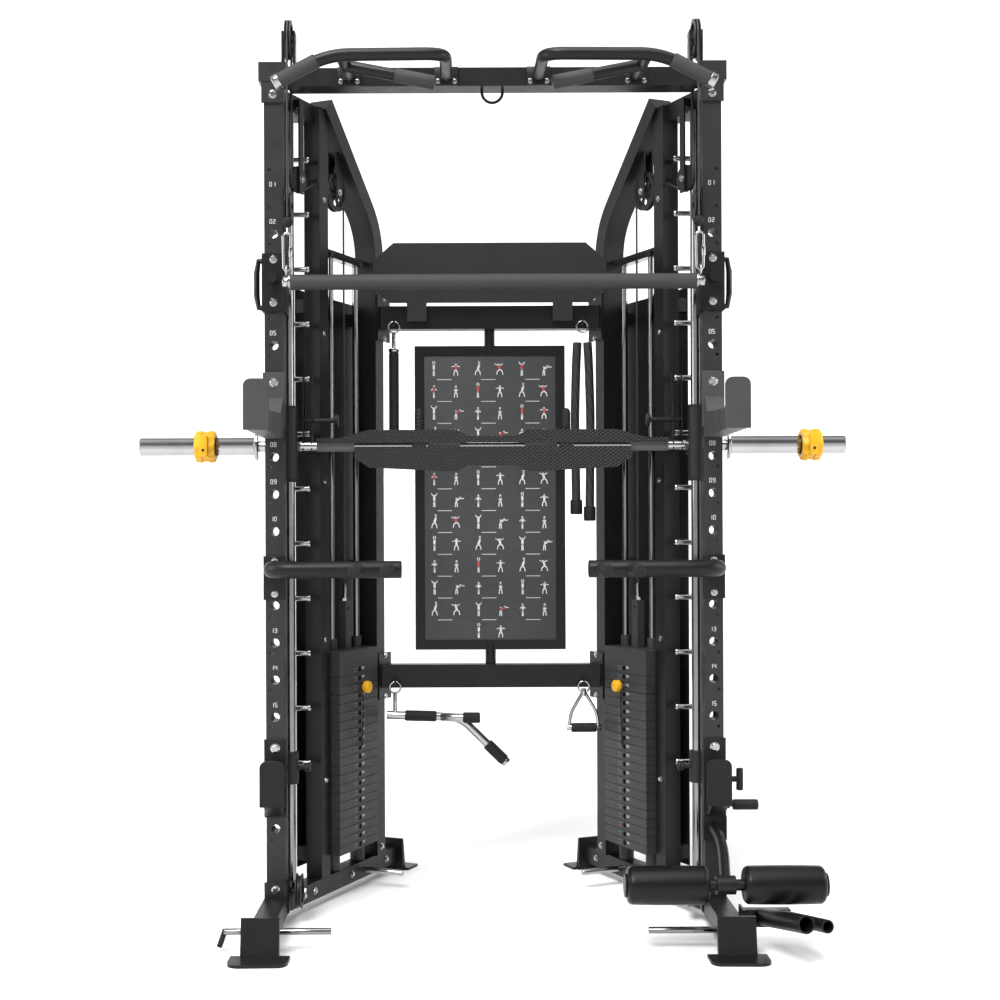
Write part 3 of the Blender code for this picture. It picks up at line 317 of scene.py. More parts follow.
def grid_mesh(name, points, uv=None, round_u=True, caps=True):
    """A mesh from a grid of points with shape (along, around, 3).

    Point (i, j) joins (i + 1, j) and (i, j + 1); the last column joins the first if round_u, and
    the first and last rows are closed by one flat face each if caps. uv has shape
    (along, around + 1, 2), so that the seam keeps both of its values.
    """
    rows, columns = points.shape[:2]
    steps = columns if round_u else columns - 1
    i, j = np.meshgrid(np.arange(rows - 1), np.arange(steps), indexing="ij")
    after = (j + 1) % columns
    here, above = i * columns, (i + 1) * columns
    quads = np.stack([here + j, here + after, above + after, above + j], -1)
    faces = quads.reshape(-1, 4).tolist()
    if caps:
        faces.append(list(range(columns))[::-1])
        faces.append(list(range((rows - 1) * columns, rows * columns)))
    mesh = bpy.data.meshes.new(name)
    mesh.from_pydata(points.reshape(-1, 3), [], faces)
    if uv is not None:
        layer = mesh.uv_layers.new(name="UVMap")
        corner = np.stack([uv[i, j], uv[i, j + 1], uv[i + 1, j + 1], uv[i + 1, j]], 2).reshape(-1, 2)
        spare = len(mesh.loops) - len(corner)
        values = np.vstack([corner, np.zeros((spare, 2))])
        layer.data.foreach_set("uv", values.ravel().astype(np.float32))
    shape = bmesh.new()
    shape.from_mesh(mesh)
    bmesh.ops.remove_doubles(shape, verts=shape.verts, dist=0.00001)
    bmesh.ops.recalc_face_normals(shape, faces=shape.faces)
    shape.to_mesh(mesh)
    shape.free()
    return mesh


def upright_or_level(direction):
    """Straight up, or straight back where the direction is itself nearly upright."""
    return np.array((0.0, 0.0, 1.0)) if abs(direction[2]) < 0.9 else np.array((0.0, 1.0, 0.0))


def square_to(axis):
    """The axis as a unit direction, and two more that are square to it and to each other."""
    axis = np.array(axis, float) / np.linalg.norm(axis)
    one = np.cross(axis, upright_or_level(axis))
    one /= np.linalg.norm(one)
    return axis, one, np.cross(axis, one)


def frames_along(path):
    """Unit tangents and two unit normals along a path.

    Each first normal is the one before it less its share along the new tangent, so that it
    turns no more than the path does. The second is square to both.
    """
    tangent = np.gradient(path, axis=0)
    tangent /= np.linalg.norm(tangent, axis=1, keepdims=True)
    normal = np.empty_like(path)
    previous = upright_or_level(tangent[0])
    for index, direction in enumerate(tangent):
        previous = previous - direction * previous.dot(direction)
        previous = previous / np.linalg.norm(previous)
        normal[index] = previous
    return tangent, normal, np.cross(tangent, normal)


def rounded(points, reach, steps=8):
    """The path with each corner replaced by a quadratic bend that starts reach before it."""
    points = [np.array(point, float) for point in points]
    path = [points[0]]
    for before, corner, after in zip(points, points[1:], points[2:]):
        first = min(reach, 0.49 * np.linalg.norm(corner - before))
        second = min(reach, 0.49 * np.linalg.norm(after - corner))
        start = corner + (before - corner) / np.linalg.norm(before - corner) * first
        end = corner + (after - corner) / np.linalg.norm(after - corner) * second
        s = np.linspace(0, 1, steps)[:, None]
        path.extend((1 - s) ** 2 * start + 2 * s * (1 - s) * corner + s**2 * end)
    path.append(points[-1])
    return np.array(path)


EASE_STEPS = (1.0, 0.62, 0.3, 0.08)


def tube_mesh(name, path, radius, sides=32, ease=0.0015, closed=False):
    """A circle of the given radius carried along the path, its ends eased by a quarter round.

    Point (i, j) is path point i plus the radius times cos(j) of one normal and sin(j) of the other.
    """
    path = np.array(path, float)
    if closed:
        path = np.vstack([path, path[:1]])
    tangent, one, two = frames_along(path)
    if closed:
        tangent[0] = tangent[-1] = path[1] - path[-2]
    radii = np.full(len(path), float(radius))
    if not closed:
        bend = np.array(EASE_STEPS)
        count = len(bend)
        head_radii = radius - ease + ease * np.sqrt(1 - bend**2)
        head = path[0] + tangent[0] * (ease * (1 - bend))[:, None]
        tail = path[-1] - tangent[-1] * (ease * (1 - bend))[:, None]
        path = np.vstack([head, path[1:-1], tail[::-1]])
        one = np.vstack([np.repeat(one[:1], count, 0), one[1:-1], np.repeat(one[-1:], count, 0)])
        two = np.vstack([np.repeat(two[:1], count, 0), two[1:-1], np.repeat(two[-1:], count, 0)])
        radii = np.concatenate([head_radii, radii[1:-1], head_radii[::-1]])
    angle = np.linspace(0, 2 * math.pi, sides, endpoint=False)
    ring = one[:, None] * np.cos(angle)[None, :, None] + two[:, None] * np.sin(angle)[None, :, None]
    points = path[:, None] + ring * radii[:, None, None]
    run = np.concatenate([[0], np.cumsum(np.linalg.norm(np.diff(path, axis=0), axis=1))])
    turn = np.linspace(0, 2 * math.pi * radius, sides + 1)
    uv = np.stack(np.broadcast_arrays(turn[None, :], run[:, None]), -1)
    return grid_mesh(name, points, uv, caps=not closed)


def turned_mesh(name, profile, centre, axis, sides=48):
    """A profile of (radius, distance along the axis) turned about the axis through centre.

    Point (i, j) is the centre, plus distance i along the axis, plus radius i in the direction j.
    """
    profile = np.array(profile, float)
    axis, one, two = square_to(axis)
    angle = np.linspace(0, 2 * math.pi, sides, endpoint=False)
    ring = one * np.cos(angle)[:, None] + two * np.sin(angle)[:, None]
    points = np.array(centre) + ring[None] * profile[:, 0, None, None] + axis * profile[:, 1, None, None]
    run = np.concatenate([[0], np.cumsum(np.linalg.norm(np.diff(profile, axis=0), axis=1))])
    turn = np.linspace(0, 2 * math.pi * profile[:, 0].max(), sides + 1)
    uv = np.stack(np.broadcast_arrays(turn[None, :], run[:, None]), -1)
    closed = np.allclose(profile[0], profile[-1])
    return grid_mesh(name, points, uv, caps=not closed and profile[0][0] > 1e-6)


def rod_profile(radius, low, high, ease=0.001, bore=0.0):
    """The profile of a rod with eased ends, solid or with a bore right through."""
    q = ease * (1 - math.sqrt(0.5))
    outer = [(radius - ease, low), (radius - q, low + q), (radius, low + ease)]
    outer += [(radius, high - ease), (radius - q, high - q), (radius - ease, high)]
    return [(bore, low)] + outer + [(bore, high)] + ([(bore, low)] if bore else [])


def join_meshes(name, meshes):
    """Several meshes as one mesh, with their UV maps kept."""
    shape = bmesh.new()
    for mesh in meshes:
        shape.from_mesh(mesh)
    joined = bpy.data.meshes.new(name)
    shape.to_mesh(joined)
    shape.free()
    return joined


def rod_mesh(name, start, end, radius, ease=0.001, sides=32):
    """A straight rod from start to end: its eased profile turned about the line between them."""
    start, end = np.array(start, float), np.array(end, float)
    profile = rod_profile(radius, 0, np.linalg.norm(end - start), min(ease, radius * 0.5))
    return turned_mesh(name, profile, start, end - start, sides)


def block_mesh(name, low, high, ease=0.0012):
    """A box from low to high with every edge rounded back by ease."""
    low, high = np.minimum(low, high), np.maximum(low, high)
    size = high - low
    place = Matrix.LocRotScale(Vector((low + high) / 2), None, Vector(size))
    shape = bmesh.new()
    bmesh.ops.create_cube(shape, size=1, matrix=place)
    offset = min(ease, size.min() * 0.4)
    bmesh.ops.bevel(shape, geom=shape.edges[:], offset=offset, segments=2, profile=0.5, affect="EDGES")
    mesh = bpy.data.meshes.new(name)
    shape.to_mesh(mesh)
    shape.free()
    return mesh


def hex_bolt(centre, axis, radius, height):
    """A bolt head with a washer: a six-sided prism with a cut-back top edge on a round plate."""
    washer = turned_mesh("washer", rod_profile(radius * 1.45, 0, height * 0.22, 0.0003), centre, axis, 24)
    wide, top = radius * 1.1, radius * 0.95
    profile = [(0, 0), (wide, 0), (wide, height * 0.85), (top, height), (0, height)]
    head = turned_mesh("head", profile, centre, axis, 6)
    return [washer, head]


def eased_copy(node, material, slot, width):
    """A merged copy of a CAD node, shown in its place: its sharp edges are rounded to the width.

    The large faces then keep their own direction, so that they shade flat.
    """
    source = NODES[node]
    shape = bmesh.new()
    shape.from_mesh(source.data)
    bmesh.ops.remove_doubles(shape, verts=shape.verts, dist=0.00002)
    bmesh.ops.dissolve_limit(shape, angle_limit=math.radians(0.5), verts=shape.verts, edges=shape.edges)
    mesh = bpy.data.meshes.new(node + "_eased")
    shape.to_mesh(mesh)
    shape.free()
    bodies = frame["record"]["behaviour"]["bodies"]
    body = next(name for name, members in bodies.items() if node in members)
    piece = add_piece(node + "_eased", mesh, body, material, 32.0)
    bevel = piece.modifiers.new("ease", "BEVEL")
    bevel.width = width
    bevel.segments = 2
    bevel.limit_method = "ANGLE"
    bevel.angle_limit = math.radians(50)
    bevel.use_clamp_overlap = True
    flat = piece.modifiers.new("flat", "WEIGHTED_NORMAL")
    flat.mode = "FACE_AREA"
    flat.keep_sharp = True
    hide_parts(node)
    return piece


# ---------------------------------------------------------------- frame


def ease_frame():
    """Rounds the edges of the boxy frame nodes and gives each its finish."""
    finishes = {
        "base": (COAT, "coat", 0.002),
        "upright": (PAINTED_LIT_COAT, "coat", 0.002),
        "rear_frame": (COAT, "coat", 0.002),
        "catch_post": (COAT, "coat", 0.001),
        "lower_plates": (STACK, "stack_plate", 0.0005),
        "lifted_plates": (STACK, "stack_plate", 0.0005),
        "stack_shroud": (COAT, "coat", 0.0008),
        "spotter_arm": (LIGHT_COAT, "coat_light", 0.0015),
        "j_cup": (COAT, "coat_light", 0.0015),
        "trolley": (COAT, "coat", 0.0008),
        "carriage": (NYLON, "nylon", 0.001),
        "safety_stop": (NYLON, "nylon", 0.001),
        "stack_guides": (PAINTED_SHADE_CHROME, "chrome", 0.0006),
    }
    for _, side in SIDES:
        for name, finish in finishes.items():
            eased_copy(f"{side}_{name}", *finish)
    for name in ("top_beam", "upper_crossmember", "lower_crossmember", "leg_roller_holder"):
        eased_copy(name, COAT, "coat", 0.0015)
    eased_copy("header_panel", PAINTED_LIT_COAT, "coat", 0.0008)
    eased_copy("landmine_tubes", COAT, "coat", 0.0008)
    eased_copy("foot_plate", TREAD, "coat", 0.001)


# The height and head radius of each bolt on an upright's front face.
FRONT_BOLTS = (
    (0.096, 0.008),
    (2.231, 0.008),
    (0.890, 0.0065),
    (0.978, 0.0065),
    (1.458, 0.009),
    (0.476, 0.009),
)


def bolt_frame():
    """Hex bolts of the frame's joints: one piece for each side."""
    front = FRONT_Y - 0.0060
    for s, side in SIDES:
        meshes = []
        for z, radius in FRONT_BOLTS:
            meshes += hex_bolt((s * UPRIGHT_X, front, z), (0, -1, 0), radius, radius * 0.8)
        for t in (0.10, 0.16, 0.38, 0.60):
            meshes += hex_bolt(side_point(t, 0.025, 0.05, s), inward(s), 0.007, 0.006)
        for z in (0.35, 0.75, 1.20, 1.62, 2.00):
            meshes += hex_bolt(side_point(0.225, 0.025, z, s), inward(s), 0.006, 0.005)
        for z in (0.14, 0.95, 1.70):
            meshes += hex_bolt(side_point(0.225, -0.060, z, s), -inward(s), 0.006, 0.004)
            meshes += hex_bolt(side_point(0.550, -0.060, z, s), -inward(s), 0.006, 0.004)
        for z in (0.1, 1.866):
            meshes += hex_bolt(side_point(0.55, 0.0352, z, s), inward(s), 0.007, 0.006)
        for z in (0.555, 0.680, 1.642, 1.768):
            meshes += hex_bolt(side_point(0.567, 0.0415, z, s), inward(s), 0.0065, 0.005)
        meshes += hex_bolt((s * 0.5165, -0.115, 0.085), (-s, 0, 0), 0.007, 0.005)
        meshes += hex_bolt((s * 0.534, TOP_PULLEY[0], TOP_PULLEY[1]), (-s, 0, 0), 0.008, 0.005)
        meshes += hex_bolt(side_point(HIGH_PULLEY[0], 0.016, HIGH_PULLEY[1], s), inward(s), 0.007, 0.006)
        meshes += hex_bolt(side_point(TURN_PULLEY[0], 0.029, TURN_PULLEY[1], s), inward(s), 0.007, 0.006)
        for x in (0.102, 0.146, 0.363, 0.407):
            meshes += hex_bolt((s * x, FRONT_Y - 0.0063, 2.264), (0, -1, 0), 0.005, 0.004)
        add_piece(side + "_bolts", join_meshes(side + "_bolts", meshes), "frame", CHROME)


DIGITS = {
    "0": "abcdef",
    "1": "bc",
    "2": "abged",
    "3": "abgcd",
    "4": "fgbc",
    "5": "afgcd",
    "6": "afgedc",
    "7": "abc",
    "8": "abcdefg",
    "9": "abcfgd",
}
STROKES = {
    "a": ((0, 1), (1, 1)),
    "b": ((1, 1), (1, 0.5)),
    "c": ((1, 0.5), (1, 0)),
    "d": ((0, 0), (1, 0)),
    "e": ((0, 0), (0, 0.5)),
    "f": ((0, 0.5), (0, 1)),
    "g": ((0, 0.5), (1, 0.5)),
}


def flat_strokes(name, strokes, width, outward, depth):
    """Strokes as thin raised bars: each is a line between two points, widened by its width."""
    starts = np.array([stroke[0] for stroke in strokes], float)
    ends = np.array([stroke[1] for stroke in strokes], float)
    along = ends - starts
    along /= np.maximum(np.linalg.norm(along, axis=1, keepdims=True), 1e-9)
    outward = np.array(outward, float)
    sideways = np.cross(along, outward) * np.broadcast_to(width, len(strokes))[:, None] / 2
    low = np.stack([starts - sideways, starts + sideways, ends + sideways, ends - sideways], 1)
    high = low + outward * depth
    count = len(strokes)
    points = np.concatenate([low, high], 1).reshape(-1, 3)
    box_faces = np.array([(0, 1, 2, 3), (7, 6, 5, 4), (0, 4, 5, 1), (1, 5, 6, 2), (2, 6, 7, 3), (3, 7, 4, 0)])
    faces = (np.arange(count)[:, None, None] * 8 + box_faces[None]).reshape(-1, 4)
    mesh = bpy.data.meshes.new(name)
    mesh.from_pydata(points, [], faces.tolist())
    shape = bmesh.new()
    shape.from_mesh(mesh)
    bmesh.ops.recalc_face_normals(shape, faces=shape.faces)
    shape.to_mesh(mesh)
    shape.free()
    return mesh


def digit_strokes(text, origin, across, upward, size):
    """The seven-stroke figures of a number, written from origin along across, size high and half as wide."""
    origin, across, upward = np.array(origin), np.array(across), np.array(upward)
    found = []
    for place, figure in enumerate(text):
        start = origin + across * size * 0.85 * place
        for key in DIGITS[figure]:
            found.append([start + across * x * size * 0.5 + upward * y * size for x, y in STROKES[key]])
    return found


def number_uprights():
    """Hole numbers on the front face of each upright, in grey ink, where nothing covers the holes."""
    covered = ((1.64, 1.81), (1.33, 1.49), (0.87, 1.0), (0.28, 0.51))
    for s, side in SIDES:
        strokes = []
        for step in range(18):
            z = 1.986 - 0.1 * step
            if any(low < z < high for low, high in covered):
                continue
            origin = (s * UPRIGHT_X - 0.010, FRONT_Y, z)
            strokes += digit_strokes(f"{step + 1:02d}", origin, (1, 0, 0), (0, 0, 1), 0.011)
        mesh = flat_strokes(side + "_numbers", strokes, 0.0016, (0, -1, 0), 0.00012)
        add_piece(side + "_hole_numbers", mesh, "frame", GREY_INK)


def hang_pull_up_handles():
    """Round, smoothly bent pull-up handles with knurled outer and inner grips."""
    beam = FRONT_Y - 0.0003
    root_y, foot_x, stub_x = beam - 0.003, 0.124, 0.385
    for s, side in SIDES:
        main = [(foot_x, root_y, 2.279), (foot_x, -0.398, 2.260)]
        main += [(0.420, -0.400, 2.257), (0.558, -0.385, 2.190)]
        stub = [(stub_x, root_y, 2.279), (stub_x, -0.400, 2.257)]
        inner = [(stub_x, -0.296, 2.262), (0.270, -0.310, 2.236), (0.150, -0.315, 2.211)]
        main, stub, inner = [[(s * x, y, z) for x, y, z in line] for line in (main, stub, inner)]
        meshes = [
            tube_mesh("main", rounded(main, 0.055, 12), 0.016),
            tube_mesh("stub", stub, 0.016),
            tube_mesh("inner", rounded(inner, 0.03), 0.0155),
        ]
        for x in (foot_x, stub_x):
            low, high = (s * x - 0.032, beam - 0.006, 2.254), (s * x + 0.032, beam, 2.304)
            meshes.append(block_mesh("plate", low, high))
        mesh = join_meshes(side + "_pull_up_tubes", meshes)
        handle = add_piece(side + "_pull_up_tubes", mesh, "frame", COAT)
        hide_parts(side + "_pull_up_handle")
        start = np.array(main[2]) * 0.8 + np.array(main[3]) * 0.2
        held = np.array(inner[2])
        grips = [
            tube_mesh("outer", [start, main[3]], 0.0188, ease=0.004),
            tube_mesh("inner_grip", [held + (s * 0.105, 0.0044, 0.0219), held], 0.0180, ease=0.004),
        ]
        add_piece(side + "_pull_up_grips", join_meshes("grips", grips), "frame", KNURL)
        end = np.array(main[3])
        grip = end - start
        ring = tube_mesh("ring", [end - grip * 0.14, end + grip * 0.005], 0.0193, ease=0.002)
        add_piece(side + "_pull_up_rings", ring, "frame", CHROME)


def raise_guide_rails():
    """The polished guide rails, each turned in one with its foot flange."""
    foot_z, length, radius = 0.0813, 2.1329, 0.015
    profile = [(0, 0), (0.024, 0), (0.024, 0.012), (0.0225, 0.0147)]
    profile += [(radius, 0.0147), (radius, length), (0, length)]
    for s, side in SIDES:
        mesh = turned_mesh("rail", profile, (s * RAIL_X, RAIL_Y, foot_z), (0, 0, 1))
        rail = add_piece(side + "_polished_rail", mesh, "frame", PAINTED_SHADE_CHROME)
        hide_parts(side + "_guide_rail")


def set_dip_handles():
    """Dip handles: a large bent tube on a plate, with two short stubs and a rubber grip on each stub."""
    face, z = FRONT_Y - 0.0003, DIP_Z
    for s, side in SIDES:
        post, tip = s * UPRIGHT_X, s * 0.245
        path = [(post, -0.149, z), (post, DIP_Y, z), (tip, DIP_Y, z)]
        tube = tube_mesh("tube", rounded(path, 0.07, 14), 0.023, ease=0.003)
        plate = block_mesh("plate", (post - 0.030, face - 0.006, 0.874), (post + 0.030, face, 0.992))
        stubs = [tube_mesh("stub", [(s * x, DIP_Y, z), (s * x, -0.300, z)], 0.013) for x in DIP_STUB_X]
        mesh = join_meshes("dip", [tube, plate] + stubs)
        handle = add_piece(side + "_dip_tube", mesh, "frame", COAT)
        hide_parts(side + "_dip_handle")
        grips = []
        for x in DIP_STUB_X:
            grips.append(tube_mesh("grip", [(s * x, -0.285, z), (s * x, -0.425, z)], 0.0165, ease=0.004))
            grips.append(turned_mesh("cuff", rod_profile(0.0175, 0, 0.006), (s * x, -0.284, z), (0, -1, 0)))
        add_piece(side + "_dip_grips", join_meshes("grips", grips), "frame", RUBBER)


# ---------------------------------------------------------------- bar


def dress_bar():
    """The bar, its sleeves and flanges in chrome, its hooks and levers, and four knurled zones."""
    middle = (0, BAR_Y, BAR_Z)
    flange = [(0.0151, 0.652), (0.036, 0.652), (0.040, 0.654), (0.040, 0.660), (0.036, 0.662), (0.027, 0.662)]
    sleeve = [(0.025, 0.665), (0.025, 0.980), (0.0235, 0.983), (0.019, 0.983), (0.0185, 0.981), (0, 0.981)]
    meshes = [turned_mesh("shaft", [(0, -0.66), (0.015, -0.66), (0.015, 0.66), (0, 0.66)], middle, (1, 0, 0))]
    for s, _ in SIDES:
        meshes.append(turned_mesh("sleeve", flange + sleeve, middle, (s, 0, 0)))
    bar = add_piece("bar_and_sleeves", join_meshes("bar", meshes), "bar", CHROME)
    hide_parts("smith_bar")
    levers, zones = [], []
    y, z = BAR_Y + 0.004, BAR_Z + 0.072
    hook = [(-0.014, -0.012), (0.016, -0.012), (0.024, 0.02), (0.022, 0.2), (-0.004, 0.2), (-0.014, 0.02)]
    outline = [(BAR_Y + back, BAR_Z + up) for back, up in hook]
    for s, _ in SIDES:
        levers.append(tube_mesh("lever", [(s * 0.529, y, z), (s * 0.432, y, z)], 0.007))
        levers.append(turned_mesh("knob", rod_profile(0.018, 0, 0.010, 0.003), (s * 0.440, y, z), (-s, 0, 0)))
        levers += [slab_mesh("hook", outline, s * x, 0.004) for x in (0.528, 0.504)]
        for start, end in ((0.385, 0.49), (0.09, 0.18)):
            ends = [(s * start, BAR_Y, BAR_Z), (s * end, BAR_Y, BAR_Z)]
            zones.append(tube_mesh("zone", ends, 0.0152, ease=0.0002))
    add_piece("hooks_and_levers", join_meshes("levers", levers), "bar", COAT)
    add_piece("bar_knurling", join_meshes("zones", zones), "bar", BAR_KNURL)


def slab_mesh(name, outline, x, thickness, ease=0.0006):
    """An outline in the (y, z) plane carried across from x - thickness / 2 to x + thickness / 2."""
    outline = np.array(outline, float)
    middle = outline.mean(0)
    inner = middle + (outline - middle) * (1 - ease / np.abs(outline - middle).max())
    half = thickness / 2
    layers = [(inner, -half), (outline, -half + ease), (outline, half - ease), (inner, half)]
    rows = [np.column_stack([np.full(len(line), x + shift), line]) for line, shift in layers]
    return grid_mesh(name, np.array(rows))


def fit_collars():
    """Yellow clamp collars: an eight-lobed ring with two ribs and a cam lever.

    The ring's radius at an angle a is a station's share of 42.5 mm + 2.5 mm times cos(8 a), and
    its round bore closes the section.
    """
    bore, half = 0.0255, 0.028
    angle = np.linspace(0, 2 * math.pi, 96, endpoint=False)
    lobes = 0.0425 + 0.0025 * np.cos(8 * angle)
    rising = [(-half, 0.90), (-0.024, 0.97), (-0.009, 1.0), (-0.007, 0.93)]
    outer = rising + [(-along, share) for along, share in rising[::-1]]
    round_bore = np.full(len(angle), bore)
    sections = [(-half, round_bore)] + [(along, lobes * share) for along, share in outer]
    sections += [(half, round_bore), (-half, round_bore)]
    along = np.array([place for place, _ in sections])[:, None]
    radius = np.array([size for _, size in sections])
    across, up = BAR_Y + radius * np.cos(angle), BAR_Z + radius * np.sin(angle)
    liner = rod_profile(0.0290, -0.0285, 0.0285, 0.0005, 0.02545)
    for side, x in COLLAR_X.items():
        body = side + "_collar_body"
        ring = grid_mesh("ring", np.stack(np.broadcast_arrays(x + along, across, up), -1), caps=False)
        middle = np.array((x, BAR_Y, BAR_Z))
        lever = block_mesh("lever", middle + (-0.012, -0.054, -0.030), middle + (0.012, -0.040, 0.030), 0.004)
        pad = block_mesh("pad", middle + (-0.010, -0.046, 0.004), middle + (0.010, -0.032, 0.026), 0.003)
        mesh = join_meshes("collar", [ring, lever, pad])
        collar = add_piece(side + "_collar_body", mesh, body, YELLOW)
        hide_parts(side + "_collar")
        pins = hex_bolt((x, BAR_Y - 0.0535, BAR_Z - 0.012), (0, -1, 0), 0.004, 0.002)
        pins.append(turned_mesh("liner", liner, (x, BAR_Y, BAR_Z), (1, 0, 0)))
        add_piece(side + "_collar_liner", join_meshes("liner", pins), body, NYLON)


# ---------------------------------------------------------------- pulleys, cables and carriages


def wheel_mesh(name, centre, axis, radius, bore, spokes=6):
    """A grooved wheel: turned rim and hub, and spokes that flare at both ends by a parabola.

    A spoke's half angle is 0.30 + 0.60 s^2 of its share of the turn, with s from -1 at the hub to 1
    at the rim.
    """
    rim, floor, hub = radius + 0.0025, radius - 0.0036, bore + 0.009
    inner = floor - 0.006
    ring = [(inner, -0.008), (rim, -0.008), (rim, -0.0060), (floor, -0.0030), (floor - 0.0004, 0)]
    ring += [(floor, 0.0030), (rim, 0.0060), (rim, 0.008), (inner, 0.008), (inner, -0.008)]
    boss = [(bore, -0.008), (hub, -0.008), (hub, 0.008), (bore, 0.008), (bore, -0.008)]
    meshes = [turned_mesh("rim", ring, centre, axis, 64), turned_mesh("hub", boss, centre, axis, 32)]
    axis, one, two = square_to(axis)
    radii = np.linspace(hub - 0.0008, inner + 0.0008, 9)
    share = np.linspace(-1, 1, 9)
    half = (0.30 + 0.60 * share**2) * math.pi / spokes
    level = np.array((-0.003, -0.003, 0.003, 0.003))
    for spoke in range(spokes):
        middle = 2 * math.pi * spoke / spokes
        corners = np.stack([middle - half, middle + half, middle + half, middle - half], 1)
        flat = one * np.cos(corners)[..., None] + two * np.sin(corners)[..., None]
        points = np.array(centre) + flat * radii[:, None, None] + axis * level[None, :, None]
        meshes.append(grid_mesh("spoke", points))
    return join_meshes(name, meshes)


def hang_pulleys():
    """The running wheels of both cables, moulded with six spokes each."""
    for s, side in SIDES:
        places = {
            "top": ((s * CABLE_X, *TOP_PULLEY[:2]), (s, 0, 0), TOP_PULLEY[2]),
            "high": (side_point(HIGH_PULLEY[0], 0, HIGH_PULLEY[1], s), inward(s), HIGH_PULLEY[2]),
            "low": ((s * LOW_PULLEY[0], *LOW_PULLEY[1:3]), (s, 0, 0), LOW_PULLEY[3]),
        }
        for name, (centre, axis, radius) in places.items():
            mesh = wheel_mesh("wheel", centre, axis, radius, 0.0063)
            wheel = add_piece(f"{side}_{name}_spoked_wheel", mesh, f"{side}_{name}_wheel", NYLON)
            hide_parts(f"{side}_{name}_pulley")


def arc_points(centre, radius, start, end, count):
    """Points on a circle from the start angle to the end angle, in degrees."""
    angle = np.radians(np.linspace(start, end, count))
    return np.stack([centre[0] + radius * np.cos(angle), centre[1] + radius * np.sin(angle)], 1)


def blended_run(name, start, end):
    """A straight run of cable between two bodies."""
    path = np.linspace(start, end, 12)
    mesh = tube_mesh(name, path, CABLE_RADIUS, 12, 0.0002)
    piece = bpy.data.objects.new(name, mesh)
    bpy.context.scene.collection.objects.link(piece)
    mesh.materials.append(ROPE)
    mesh.shade_smooth()
    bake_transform(piece)
    return piece


def string_cables():
    """Each cable as a still run over the wheels, and straight runs from it to the stack, the trolley and the
    bar.
    """
    centre, height, radius = HIGH_PULLEY
    turn_t, turn_z, turn_radius = TURN_PULLEY
    apart = math.hypot(turn_t - centre, turn_z - height)
    lean = math.degrees(math.atan2(turn_z - height, turn_t - centre)) % 360
    leave = lean - math.degrees(math.acos((radius + turn_radius) / apart))
    over = arc_points((centre, height), radius, 0, leave, 20)
    under = arc_points((turn_t, turn_z), turn_radius, leave + 180, 180, 20)
    y, z, top_radius = TOP_PULLEY
    last = arc_points((y, z), top_radius, 0, 180, 28)
    front_y = y - top_radius
    for s, side in SIDES:
        path = [side_point(t, 0, up, s) for t, up in over] + [side_point(t, TURN_W, up, s) for t, up in under]
        path += [np.array((s * CABLE_X, across, up)) for across, up in last]
        still = tube_mesh("still", path, CABLE_RADIUS, 12, 0.0002)
        cable = add_piece(side + "_cable_over_wheels", still, "frame", ROPE)
        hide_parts(side + "_cable")
        stem = side_point(CABLE_T, 0, STACK_STEM_Z, s)
        blended_run(side + "_cable_to_stack", path[0], stem)
        below = np.array((s * CABLE_X, front_y, 1.980))
        blended_run(side + "_cable_to_trolley", path[-1], below)
        ball = np.array((s * CABLE_X, front_y, 1.9003))
        blended_run(side + "_cable_to_bar", below, ball)


def dress_carriages():
    """End seals on the sliding blocks, and the safety stops' pull knobs."""
    seal = rod_profile(0.0232, -0.0038, 0.0038, 0.0012, 0.01545)
    pull = [(0, 0), (0.0115, 0), (0.0125, 0.002), (0.0125, 0.0065), (0.0115, 0.0085), (0, 0.0085)]
    for s, side in SIDES:
        rings = [turned_mesh("seal", seal, (s * RAIL_X, RAIL_Y, z), (0, 0, 1)) for z in (1.198, 1.400)]
        add_piece(side + "_carriage_seals", join_meshes("seals", rings), "carriages", RUBBER)
        knob = turned_mesh("knob", pull, (s * 0.5148, RAIL_Y, 0.406), (-s, 0, 0), 36)
        add_piece(side + "_stop_knob", knob, side + "_stop", NYLON)


def peg_catch_posts():
    """Chrome catch pegs for the bar's hooks, each with a domed head, and a chrome peg on each rear foot."""
    top_z, pitch, count = 2.1046, 0.1545, 12
    stem = [(0, -0.002), (0.0076, -0.002), (0.0076, 0.040)]
    head = [(0.0094, 0.0405), (0.0096, 0.043), (0.0094, 0.0465), (0.0078, 0.0492), (0, 0.0494)]
    reach = [(0, 0), (0.0083, 0), (0.0083, 0.129), (0.0075, 0.1303), (0, 0.1303)]
    for s, side in SIDES:
        places = [(s * RAIL_X, 0.052, top_z - pitch * step) for step in range(count)]
        meshes = [turned_mesh("peg", stem + head, place, (-s, 0, 0), 32) for place in places]
        rear = side_point(0.45, 0.0255, 0.05, s)
        meshes.append(turned_mesh("rear_peg", reach, rear, inward(s), 32))
        add_piece(side + "_chrome_pegs", join_meshes("pegs", meshes), "frame", CHROME)


# ---------------------------------------------------------------- pull bar, rollers and hanging handles


